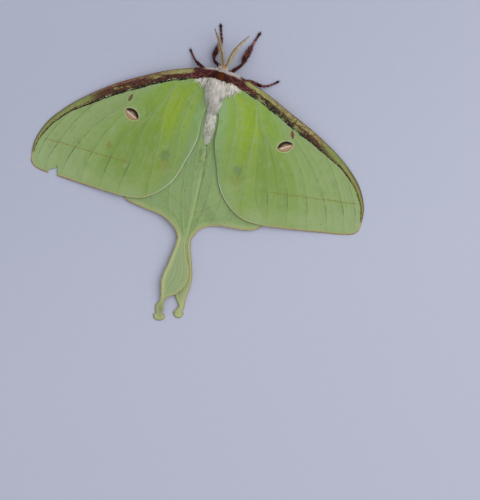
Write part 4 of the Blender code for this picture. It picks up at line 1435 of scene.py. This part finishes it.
def spike(lean, start, length, droop, taper, bends):
    """One hair along Y, as points and faces."""
    verts, faces = [], []
    for t in (*bends, 1.0):
        thick = max(1 - t, 0.0) ** taper
        x, y, z = start[0] + lean * t, start[1] + t * length, t * 0.30 - t * t * droop
        for a in CORNERS if t < 1 else [0.0]:
            verts.append((x + math.cos(a) * 0.5 * thick, y, z + math.sin(a) * 0.03 * thick))
    for r in range(0, (len(bends) - 1) * SIDES, SIDES):
        for k in range(SIDES):
            n = (k + 1) % SIDES
            faces.append((r + k, r + n, r + SIDES + n, r + SIDES + k))
    last = (len(bends) - 1) * SIDES
    faces += [(last + k, last + (k + 1) % SIDES, last + SIDES) for k in range(SIDES)]
    faces.append(tuple(range(SIDES))[::-1])
    return verts, faces


def make_tuft(name, hairs, taper=0.6, bends=(0.0, 0.5)):
    """A template made of hairs. Its points store where on it they are, for the map and the tip's shade."""
    verts, faces = [], []
    for lean, start, length, droop in hairs:
        more, sides = spike(lean, start, length, droop, taper, bends)
        faces += [tuple(len(verts) + k for k in reversed(face)) for face in sides]
        verts += more
    mesh = bpy.data.meshes.new(name)
    mesh.from_pydata(verts, [], faces)
    mesh.shade_smooth()
    spot = np.array(verts)[:, :2]
    spot = (spot - spot.min(0)) / np.ptp(spot, axis=0)
    spot = np.concatenate([spot, 0 * spot[:, :1]], axis=1).astype(np.float32)
    mesh.attributes.new("leaf", "FLOAT_VECTOR", "POINT").data.foreach_set("vector", spot.ravel())
    obj = in_scene(name, mesh)
    return obj


FIVE_HAIRS = [  # each with its lean, its start, its length and its droop
    (0.0, (0, 0), 1.0, 0.24), (0.7, (-1.2, -0.06), 0.82, 0.18), (-0.7, (1.2, 0.05), 0.9, 0.30),
    (1.2, (-2.2, 0.03), 0.7, 0.26), (-1.3, (2.3, -0.04), 0.75, 0.2)]
lock = make_tuft("lock", FIVE_HAIRS)
hair = make_tuft("hair", [(0.3, (0, 0), 1.0, 0.18)], bends=(0.0, 0.35, 0.7))
barb = make_tuft("barb", [(0.0, (0, 0), 1.0, 0.42)], taper=0.3, bends=(0.0, 0.35, 0.7))
claw = make_tuft("claw", [(0.0, (0, 0), 1.0, 0.75)], taper=0.8, bends=(0.0, 0.25, 0.5, 0.75))
print("a lock has", len(lock.data.polygons), "faces")

# %% [markdown]
# ## A geometry tree that plants tufts
#
# The tree scatters points over a skin, as densely as the stored number called Where says, and puts a tuft
# on each. Y turns to the stored `lie`, and Hug says how closely that follows the skin, from 0, straight
# on, to 1, flat on it. Soft noise then sways whole clumps and a little chance sways each tuft. Each tuft
# keeps its root's place on the skin's unwrap and shrinks its own there, so a bake takes its colour from
# the root. Without the scatter, the same tree puts one tuft on each point of a line, for fringes and
# feathers.


# %% What the trees ask for
def named(tree, name, kind="FLOAT"):
    return add(tree, "GeometryNodeInputNamedAttribute", {"data_type": kind}, {"Name": name})


def chance(tree, low, high, seed):
    """A random number for each point."""
    node = add(tree, "FunctionNodeRandomValue", {"data_type": "FLOAT"}).output.node
    slots = [socket for socket in node.inputs if socket.enabled]
    for slot, value in zip(slots, (low, high)):
        feed(tree, slot, value)
    feed(tree, node.inputs["Seed"], seed)
    return Term(tree, next(socket for socket in node.outputs if socket.enabled))


TREE_INPUTS = {
    "Skin": "Geometry", "Tuft": "Object", "Where": "String", "Per mm2": "Float", "Width mm": "Float",
    "Length": "Float", "Tangle": "Float", "Clump": "Float", "Tip up": "Float", "Hug": "Float", "Seed": "Int",
    "Finish": "Material"}
print("a planting tree asks for", *TREE_INPUTS, sep=", ")


# %% Where a tuft stands and how it turns
CLUMP_WIDTH = 1 / 0.55  # mm


def starting_points(tree, ask, scatter):
    """Points scattered over the skin, or the string's own, with the way that is up on them."""
    if not scatter:
        points = add(tree, "GeometryNodeMeshToPoints", {}, {"Mesh": ask["Skin"]})
        return points, named(tree, "up", "FLOAT_VECTOR")
    density = named(tree, ask["Where"]) * ask["Per mm2"] / MM**2
    sockets = {"Mesh": ask["Skin"], "Density": density, "Seed": ask["Seed"]}
    points = add(tree, "GeometryNodeDistributePointsOnFaces", {"distribute_method": "RANDOM"}, sockets)
    return points, points.pick("Normal")


def tuft_turn(tree, ask, normal, place):
    """Y along `lie`, laid flat by Hug, then swayed by noise in clumps and by chance."""
    lie = named(tree, "lie", "FLOAT_VECTOR")
    steep = add(tree, "ShaderNodeVectorMath", {"operation": "DOT_PRODUCT"}, {0: lie, 1: normal}, out="Value")
    away = scaled(normal, steep * ask["Hug"])
    flat = add(tree, "ShaderNodeVectorMath", {"operation": "SUBTRACT"}, {0: lie, 1: away})
    axes = {"primary_axis": "Y", "secondary_axis": "Z"}
    turn = add(tree, "FunctionNodeAxesToRotation", axes, {0: flat, 1: normal})
    clump = noise(place, 1 / CLUMP_WIDTH / MM, 1.0) - 0.5
    lift = chance(tree, 0.0, 0.5, ask["Seed"] + 1) * ask["Tangle"] + ask["Tip up"]
    swing = chance(tree, -1.0, 1.0, ask["Seed"] + 2) * ask["Tangle"] + clump * ask["Clump"]
    sway = add(tree, "FunctionNodeEulerToRotation", {}, {0: combine(lift, 0.0, swing)})
    return add(tree, "FunctionNodeRotateRotation", {"rotation_space": "LOCAL"}, {0: turn, 1: sway})


print("tufts sway in clumps", round(CLUMP_WIDTH, 1), "mm wide")


# %% Build the planting trees
UNWRAP_PATCH = 0.003  # share of the bake map that one tuft takes


def planting_tree(name, scatter):
    tree = bpy.data.node_groups.new(name, "GeometryNodeTree")
    for label, kind in TREE_INPUTS.items():
        tree.interface.new_socket(label, in_out="INPUT", socket_type="NodeSocket" + kind)
    tree.interface.new_socket("Coat", in_out="OUTPUT", socket_type="NodeSocketGeometry")
    given = add(tree, "NodeGroupInput")
    ask = {label: given.pick(label) for label in TREE_INPUTS}
    points, normal = starting_points(tree, ask, scatter)
    place = add(tree, "GeometryNodeInputPosition")
    turn = tuft_turn(tree, ask, normal, place)
    tone = noise(place, 1.0 / MM, 2.0) * 0.45 + chance(tree, 0.62, 0.86, ask["Seed"] + 5)
    points = add(tree, "GeometryNodeStoreNamedAttribute", {"data_type": "FLOAT", "domain": "POINT"},
                 {"Geometry": points, "Name": "shade", "Value": tone})
    long = named(tree, "strand") * ask["Length"] * chance(tree, 0.7, 1.25, ask["Seed"] + 3) * MM
    wide = ask["Width mm"] * chance(tree, 0.7, 1.3, ask["Seed"] + 4) * MM
    tuft = add(tree, "GeometryNodeObjectInfo", {}, {0: ask["Tuft"]}).pick("Geometry")
    sockets = {"Points": points, "Instance": tuft, "Rotation": turn, "Scale": combine(wide, long, long)}
    planted = add(tree, "GeometryNodeInstanceOnPoints", {}, sockets)
    return finish_tree(tree, planted, ask["Finish"])


def finish_tree(tree, planted, material):
    """Realizes the tufts, maps each to its root's place on the unwrap, and gives them their finish."""
    real = add(tree, "GeometryNodeRealizeInstances", {}, {0: planted})
    root, leaf = (named(tree, key, "FLOAT_VECTOR") for key in ("unwrap", "leaf"))
    patch = scaled(leaf, UNWRAP_PATCH)
    spot = add(tree, "ShaderNodeVectorMath", {"operation": "ADD"}, {0: root, 1: patch})
    mapped = add(tree, "GeometryNodeStoreNamedAttribute", {"data_type": "FLOAT2", "domain": "CORNER"},
                 {"Geometry": real, "Name": "OFBake", "Value": spot})
    done = add(tree, "GeometryNodeSetMaterial", {}, {"Geometry": mapped, "Material": material})
    leave = tree.nodes.new("NodeGroupOutput")
    tree.links.new(done.output, leave.inputs[0])
    return tree


coat_tree, row_tree = planting_tree("Coat", True), planting_tree("Row", False)
print("coat tree has", len(coat_tree.nodes), "nodes")

# %% [markdown]
# ## Running the tree
#
# The modifier sits on a short-lived guide that shares the skin's mesh. Its inputs are set by each
# socket's identifier, the evaluated result becomes a plain mesh, and the guide goes away. A hair that
# would dip through the floor is bent flat on it.


# %% Run a planting tree
USUAL = {"Where": "wool", "Length": 1.0, "Tangle": 0.3, "Clump": 0.0, "Tip_up": 0.0, "Hug": 1.0, "Seed": 1}


def plant(name, skin, tree, tuft, **inputs):
    guide = in_scene(name + "_guide", skin.data)
    grow = guide.modifiers.new("Grow", "NODES")
    grow.node_group = tree
    wanted = {"Tuft": tuft, **USUAL, **inputs}
    for item in tree.interface.items_tree:
        key = item.name.replace(" ", "_")
        if item.in_out == "INPUT" and key in wanted:
            grow[item.identifier] = wanted[key]
    graph = bpy.context.evaluated_depsgraph_get()
    mesh = bpy.data.meshes.new_from_object(guide.evaluated_get(graph))
    mesh.name = name
    points = np.empty(3 * len(mesh.vertices), np.float32)
    mesh.vertices.foreach_get("co", points)
    points[2::3] = np.maximum(points[2::3], FLOOR_GAP * MM)
    mesh.vertices.foreach_set("co", points)
    bpy.data.objects.remove(guide)
    print(name, sum(len(face.vertices) - 2 for face in mesh.polygons), "triangles")
    return in_scene(name, mesh)


# %% [markdown]
# ## Wool on the body
#
# The coat is longest on the thorax, shorter on the abdomen and shortest on the collar and the face. It
# grows in pieces, so that each stays small: thorax, abdomen, the short fur in front, and a brow that
# hangs over one eye.

# %% Grow the wool
body_coats = [
    plant("thorax_wool", body, coat_tree, lock, Where="chest", Per_mm2=15.5, Width_mm=0.07,
          Tangle=0.22, Clump=1.3, Hug=0.7, Seed=11, Finish=wool),
    plant("abdomen_wool", body, coat_tree, lock, Where="belly", Per_mm2=17.0, Width_mm=0.065,
          Tangle=0.22, Clump=1.2, Hug=0.5, Seed=12, Finish=wool),
    plant("collar_fur", body, coat_tree, lock, Where="front", Per_mm2=34.0, Width_mm=0.05,
          Tangle=0.45, Clump=1.0, Tip_up=0.12, Seed=13, Finish=wool),
    plant("brow_fur", body, coat_tree, lock, Where="brow", Per_mm2=30.0, Width_mm=0.06, Length=2.1,
          Tip_up=0.22, Seed=14, Finish=wool)]

# %% [markdown]
# ## Wool and short fur on the wing roots
#
# The wool spreads over the wing roots, and short wine-red fur carries the collar onto the costa. Sparse
# pale hair runs down the inner edges of the hindwings. The wool wears the body's finish, and the rest the
# wing's own, which is white beneath the wool, so the wing grows out of it.

# %% Grow the hair on the wings
root_wool, wing_coats = [], []
for side, word in SIDE_WORD.items():
    root_wool.append(plant(
        "forewing_wool_" + word, forewings[side], coat_tree, lock, Per_mm2=10.0, Width_mm=0.05, Clump=1.0,
        Hug=0.8, Seed=21 + side, Finish=wool))
    wing_coats.append(plant(
        "costa_fur_" + word, forewings[side], coat_tree, hair, Where="collar", Per_mm2=30.0, Width_mm=0.09,
        Length=0.5, Tangle=0.5, Tip_up=0.1, Seed=24 + side, Finish=fore_finish))
    wing_coats.append(plant(
        "hindwing_hair_" + word, hindwings[side], coat_tree, hair, Per_mm2=8.0, Width_mm=0.07, Length=0.7,
        Tangle=0.15, Clump=0.4, Seed=31 + side, Finish=hind_finish))

# %% [markdown]
# ## Hair on the legs
#
# A moth's tibia looks three times as thick as its foot, and nearly all of that is hair. The skin stores
# how thick the hair stands at each place, so one call serves all six legs.

# %% Grow the leg hair
leg_coats = []
for node, skin in legs.items():
    name = node.replace("leg", "leg_hair")
    leg_coats.append(plant(name, skin, coat_tree, hair, Per_mm2=42.0, Width_mm=0.11, Tangle=0.4, Clump=0.5,
                           Tip_up=0.16, Seed=41, Finish=leather))

# %% [markdown]
# ## Fringes
#
# The outer margins end in a fringe of narrow scales, golden brown, which makes the edge of the wing look
# soft. The margin lines are known from the grids, so the row tree plants one scale every tenth of a
# millimetre along them.

# %% Plant the fringes
FRINGE_STEP = 0.10
FRINGE_LENGTH = 0.27
FRINGE_BROWN, FRINGE_GOLD, FRINGE_TAIL = paint(194, 166, 116), paint(218, 204, 152), paint(196, 196, 140)


def fringe_finish():
    finish = Finish("fringe_scales")
    fine = noise(finish.place, 1.5, 3.0)
    colour = blend(fade(fine, 0.35, 0.65), FRINGE_BROWN, FRINGE_GOLD)
    tail = fade(finish.y, -46.0, -54.0)
    colour = blend(tail * 0.75, colour, FRINGE_TAIL)
    return finish.set(Base_Color=finish.tone_and_painted_shade(colour, 0.2), Roughness=0.75 + fine * 0.1)


def string_of(name, points, lie, strand, up=(0.0, 0.0, 1.0), ends=0.02):
    """Loose points for the row tree. On the bake map they run from ends to 1 - ends."""
    share = np.linspace(ends, 1 - ends, len(points))
    values = {"lie": lie, "up": np.ones((len(points), 3)) * up, "strand": np.ones(len(points)) * strand,
              "unwrap": np.stack([share, 0 * share + 0.5, 0 * share], axis=1)}
    return mesh_of(name, points, [], None, values)


def at_shares(at, share, line):
    """The points of a line at the shares given."""
    return np.stack([np.interp(at, share, line[:, k]) for k in range(3)], axis=1)


def fringe_string(edges, torn):
    """A string of points along the edges, each with the way out over the edge."""
    points, lie = [], []
    for line, away in edges:
        run = np.concatenate([[0.0], np.cumsum(np.linalg.norm(np.diff(line, axis=0), axis=1))])
        at = np.arange(0.0, run[-1], FRINGE_STEP)
        points.append(at_shares(at, run, line))
        lie.append(at_shares(at, run, away))
    points, lie = np.concatenate(points), np.concatenate(lie)
    if torn:
        whole = ~in_polygon(points, torn)
        points, lie = points[whole], lie[whole]
    return string_of("fringe_string", points, lie, FRINGE_LENGTH)


golden = fringe_finish()
fringes = []
for wing, edges in margins.items():
    string = fringe_string(edges, NICK if wing == "forewing_skin_left" else ())
    name = wing.replace("skin", "fringe")
    fringes.append(plant(name, string, row_tree, hair, Width_mm=0.13, Seed=6, Finish=golden))
    bpy.data.objects.remove(string)

# %% [markdown]
# ## Feathered antennae
#
# A male's antenna is a fern: a thin stalk with two pairs of side branches on each of some fifty joints,
# longest a third of the way out. The stalk is a loft. The branches are planted by the row tree on a
# string of points that stores which way each branch lies. Both combs hang below the dark stalk, and the
# inner one hangs steeper, so from above the outer one looks wide and the inner one is only an edge.

# %% Make the antennae
ANTENNA = {
    LEFT: [(0.45, 2.2, 4.1), (0.0, 4.8, 4.8), (-1.0, 7.4, 5.0), (-2.5, 10.5, 4.7), (-4.4, 13.7, 4.0)],
    RIGHT: [(1.25, 2.2, 4.1), (1.55, 4.7, 4.8), (2.4, 7.9, 5.0), (3.9, 10.6, 4.7), (6.1, 13.6, 4.0)],
}
ANTENNA_JOINTS = 54
COMB_LEANS = {LEFT: (48.0, 62.0), RIGHT: (34.0, 76.0)}  # degrees below level, outer comb then inner
BRANCH_LENGTH = 1.6
BRANCH_TIP = 0.15  # the shortest, at both ends


def antenna_finish(name, dark, pale):
    finish = Finish(name)
    fine = noise(finish.place, 1.6, 3.0)
    colour = blend(fade(fine, 0.35, 0.7), dark, pale)
    colour = blend(fade(finish.y, 4.0, 2.7) * 0.8, colour, AMBER)
    return finish.set(Base_Color=colour, Roughness=0.55 + fine * 0.1)


def antenna_string(line, share, side):
    """The points where branches start, with the way each one lies."""
    at = np.linspace(0.12, 0.985, ANTENNA_JOINTS)
    roots = at_shares(at, share, line)
    ahead = np.gradient(roots, axis=0)
    ahead /= np.linalg.norm(ahead, axis=1)[:, None]
    outward = np.stack([ahead[:, 1], -ahead[:, 0], 0 * at], axis=1) * side
    strand = BRANCH_LENGTH * np.sin(math.pi * np.minimum(at * 1.01, 1.0) ** 0.62) ** 0.8 + BRANCH_TIP
    points, lie, up, reach = [], [], [], []
    for way, lean in zip((1, -1), COMB_LEANS[side]):
        flat = outward * way * math.cos(math.radians(lean))
        comb = flat - np.array([0, 0, 1.0]) * math.sin(math.radians(lean))
        for forward, size in ((0.35, 1.0), (0.8, 0.85)):
            points.append(roots)
            lie.append(comb + ahead * forward)
            up.append(np.cross(comb, ahead) * -way * side)
            reach.append(strand * size)
    points, lie, reach, up = (np.concatenate(rows) for rows in (points, lie, reach, up))
    return string_of("antenna_string", points, lie, reach, up)


def build_antenna(side):
    line = smooth_line([(*point, 0.0) for point in ANTENNA[side]], 60)[:, :3]
    line[0] -= (line[1] - line[0]) * 2.0
    share = np.linspace(0, 1, len(line))
    rings, _ = tube_rings(line, 0.17 * (1 - share) ** 0.5 + 0.05, 8)
    stalk = ring_mesh("antenna_stalk_" + SIDE_WORD[side], rings)
    string = antenna_string(line, share, side)
    name = "antenna_branches_" + SIDE_WORD[side]
    branches = plant(name, string, row_tree, barb, Width_mm=0.19, Tangle=0.06, Seed=5, Finish=feather)
    bpy.data.objects.remove(string)
    stalk.data.materials.append(olive)
    return stalk, branches


feather = antenna_finish("antenna_feather", paint(190, 170, 128), paint(222, 208, 176))
olive = antenna_finish("antenna_stalk", paint(112, 94, 54), paint(136, 116, 74))
antennae = {side: build_antenna(side) for side in (LEFT, RIGHT)}

# %% [markdown]
# ## Compound eyes
#
# A moth's eye is a ball of tiny facets, dark and glossy. A fine icosphere with a bump of round cells
# reads as facets up close and as a black bead from afar. Its size and depth come from the frame's own
# eyes.


# %% Make the eyes
FACETS_PER_MM = 9.0
EYE_LOW, EYE_HIGH = paint(16, 8, 6), paint(40, 26, 22)


def eye_finish():
    finish = Finish("eye_facets")
    sockets = {"Vector": finish.place, "Scale": FACETS_PER_MM}
    cells = add(finish.tree, "ShaderNodeTexVoronoi", {}, sockets, out="Distance")
    finish.bump(1.0 - cells, 0.5, 0.03 * MM)
    tint = blend(fade(finish.z, 2.8, 4.6), EYE_LOW, EYE_HIGH)
    return finish.set(Base_Color=tint, Roughness=0.25 + cells * 0.1, Coat_Weight=0.25)


TUCKED = {LEFT: (0.35, -0.35, -0.3), RIGHT: (0.0, 0.0, 0.0)}  # mm: the left eye hides under its brow


def build_eye(side):
    middle, half = egg("eye_" + SIDE_WORD[side])
    middle, radius = middle + TUCKED[side], float(half.max())
    ball = bmesh.new()
    bmesh.ops.create_icosphere(ball, subdivisions=4, radius=radius * MM)
    mesh = bpy.data.meshes.new("compound_eye_" + SIDE_WORD[side])
    ball.to_mesh(mesh)
    ball.free()
    mesh.transform(Matrix.Translation(Vector(to_metres(middle))))
    mesh.shade_smooth()
    mesh.materials.append(eye_black)
    print(mesh.name, round(radius * 2, 2), "mm across")
    return in_scene(mesh.name, mesh)


eye_black = eye_finish()
eyes = {side: build_eye(side) for side in (LEFT, RIGHT)}

# %% [markdown]
# ## Palps and claws
#
# Below the face two small furry palps point forward, and each foot ends in a pair of hooked claws. The
# palps are short lofts with a coat. The claws are one hook, planted twice on each foot by the row tree.

# %% Make the palps and the claws
PALP = [(0.45, 0.9, -0.6), (0.5, 1.6, -0.75), (0.5, 2.1, -0.5)]  # mm from the head's middle
PALP_RADIUS = 0.24
CLAW_LENGTH = 0.55


def build_palp(side):
    middle, _ = egg("head")
    line = [(middle[0] + x * side, middle[1] + y, middle[2] + z, 0.0) for x, y, z in PALP]
    line = smooth_line(line, 20)[:, :3]
    share = np.linspace(0, 1, 20)
    round_ends = np.sqrt(np.clip(1 - (share * 2 - 1) ** 4, 0.05, 1))
    rings, ahead = tube_rings(line, PALP_RADIUS * round_ends, 10)
    flat = np.ones(rings.shape[:2])
    values = {"wool": flat, "strand": 0.45 * flat, "lie": np.broadcast_to(ahead[:, None], rings.shape)}
    palp = ring_mesh("palp_" + SIDE_WORD[side], rings, values)
    palp.data.materials.append(wool)
    name = "palp_fur_" + SIDE_WORD[side]
    fur = plant(name, palp, coat_tree, hair, Per_mm2=60.0, Width_mm=0.09, Tip_up=0.1, Seed=15 + side,
                Finish=wool)
    return palp, fur


def claw_string():
    """Two points at the end of each foot, ahead of it and spread to both sides."""
    points, lie = [], []
    for stations, _, _ in LEGS.values():
        end, before = (np.array(stations[k][:3]) for k in (-1, -2))
        ahead = (end - before) * (1.0, 1.0, 0.0)
        ahead /= np.linalg.norm(ahead)
        for way in (-0.5, 0.5):
            points.append(end + ahead * 0.1 + (0, 0, 0.06))
            lie.append(ahead + np.array([-ahead[1], ahead[0], 0.0]) * way)
    return string_of("claw_string", points, lie, CLAW_LENGTH, ends=0.1)


palps = [piece for side in (LEFT, RIGHT) for piece in build_palp(side)]
string = claw_string()
claws = plant("claws", string, row_tree, claw, Width_mm=0.13, Tangle=0.05, Seed=7, Finish=eye_black)
bpy.data.objects.remove(string)

# %% [markdown]
# ## Everything rides on the frame
#
# Each skin stands for the solids that it covers, and every piece rides on the one body.

# %% Ride and replace
for side, word in SIDE_WORD.items():
    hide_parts("forewing_" + word)
    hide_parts("hindwing_" + word, "tail_" + word)
    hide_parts("antenna_" + word)
    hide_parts("eye_" + word)
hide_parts("head", "thorax", "abdomen")
for node, skin in legs.items():
    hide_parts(node)

slots = {
    "wing_green": [*forewings.values(), *hindwings.values(), *wing_coats, *fringes],
    "body_fur": [body, *body_coats, *palps, *root_wool],
    "leg_maroon": [*legs.values(), *leg_coats, claws],
    "antenna_tan": [piece for pair in antennae.values() for piece in pair],
    "eye_black": list(eyes.values())}
for slot, pieces in slots.items():
    for piece in pieces:
        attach(piece, "root")
for template in (lock, hair, barb, claw):
    bpy.data.objects.remove(template)
print(sum(len(pieces) for pieces in slots.values()), "pieces ride on the root")

# %% [markdown]
# ## Floor, light and camera
#
# The moth is shown from above on a pale floor, lit by a large soft lamp from the right and a pale sky.
# The floor's paint is paler towards +x and -y, a painted gradient of light. The view transform is
# Standard, so that a colour named in this lesson is the colour that the render shows.


# %% Set the stage
FLOOR_CORNERS = [(-2.0, -2.0, 0.0), (2.0, -2.0, 0.0), (2.0, 2.0, 0.0), (-2.0, 2.0, 0.0)]
FLOOR_DEEP, FLOOR_PALE = paint(181, 186, 208), paint(196, 200, 220)
LAMP_PLACE = (0.45, 0.25, 0.65)
LAMP_WATTS, LAMP_SIZE, LAMP_WHITE = 3.9, 0.85, (1.0, 0.99, 0.96)
SKY_COLOUR, SKY_STRENGTH = (0.97, 0.98, 1.0, 1.0), 0.53


def flat_floor():
    mesh = bpy.data.meshes.new("floor")
    mesh.from_pydata(FLOOR_CORNERS, [], [(0, 1, 2, 3)])
    finish = Finish("floor_paint")
    speck = noise(finish.place, 0.6, 4.0, 0.7)
    # Paler towards +x and -y: a painted gradient of light, broken by fine specks.
    tone_and_painted_shade = fade(finish.x * 0.6 - finish.y, -40.0, 90.0) * 0.6 + speck * 0.4
    colour = blend(tone_and_painted_shade, FLOOR_DEEP, FLOOR_PALE)
    mesh.materials.append(finish.set(Base_Color=colour, Roughness=0.9))
    in_scene("floor", mesh)


def soft_lamp():
    """A square lamp that looks at the origin."""
    lamp = bpy.data.lights.new("key", "AREA")
    lamp.size, lamp.energy, lamp.color = LAMP_SIZE, LAMP_WATTS, LAMP_WHITE
    obj = in_scene("key", lamp)
    obj.location = LAMP_PLACE
    obj.rotation_euler = (-Vector(LAMP_PLACE)).to_track_quat("-Z", "Y").to_euler()


flat_floor()
soft_lamp()
world = bpy.data.worlds.new("sky")
world.use_nodes = True
sky = world.node_tree.nodes["Background"]
sky.inputs["Color"].default_value = SKY_COLOUR
sky.inputs["Strength"].default_value = SKY_STRENGTH
bpy.context.scene.world = world
bpy.context.scene.view_settings.view_transform = "Standard"
print("floor, one lamp of", LAMP_WATTS, "W and a sky of strength", SKY_STRENGTH)

# %% [markdown]
# ## The camera
#
# It looks straight down from a third of a metre, turned a little, so that the moth lies across the view.

# %% Place the camera
CAMERA_X, CAMERA_Y, CAMERA_Z = 16.4, -48.5, 350.3  # mm, y from the collar
CAMERA_TURN = 12.0
lens = bpy.data.cameras.new("camera")
lens.lens, lens.sensor_width = 85.0, 36.0
lens.clip_start = 0.01
camera = in_scene("camera", lens)
camera.location = (CAMERA_X * MM, (collar_y + CAMERA_Y) * MM, CAMERA_Z * MM)
camera.rotation_euler = (0.0, 0.0, math.radians(CAMERA_TURN))
bpy.context.scene.camera = camera
print("camera", round(camera.location.z, 3), "m above the floor")
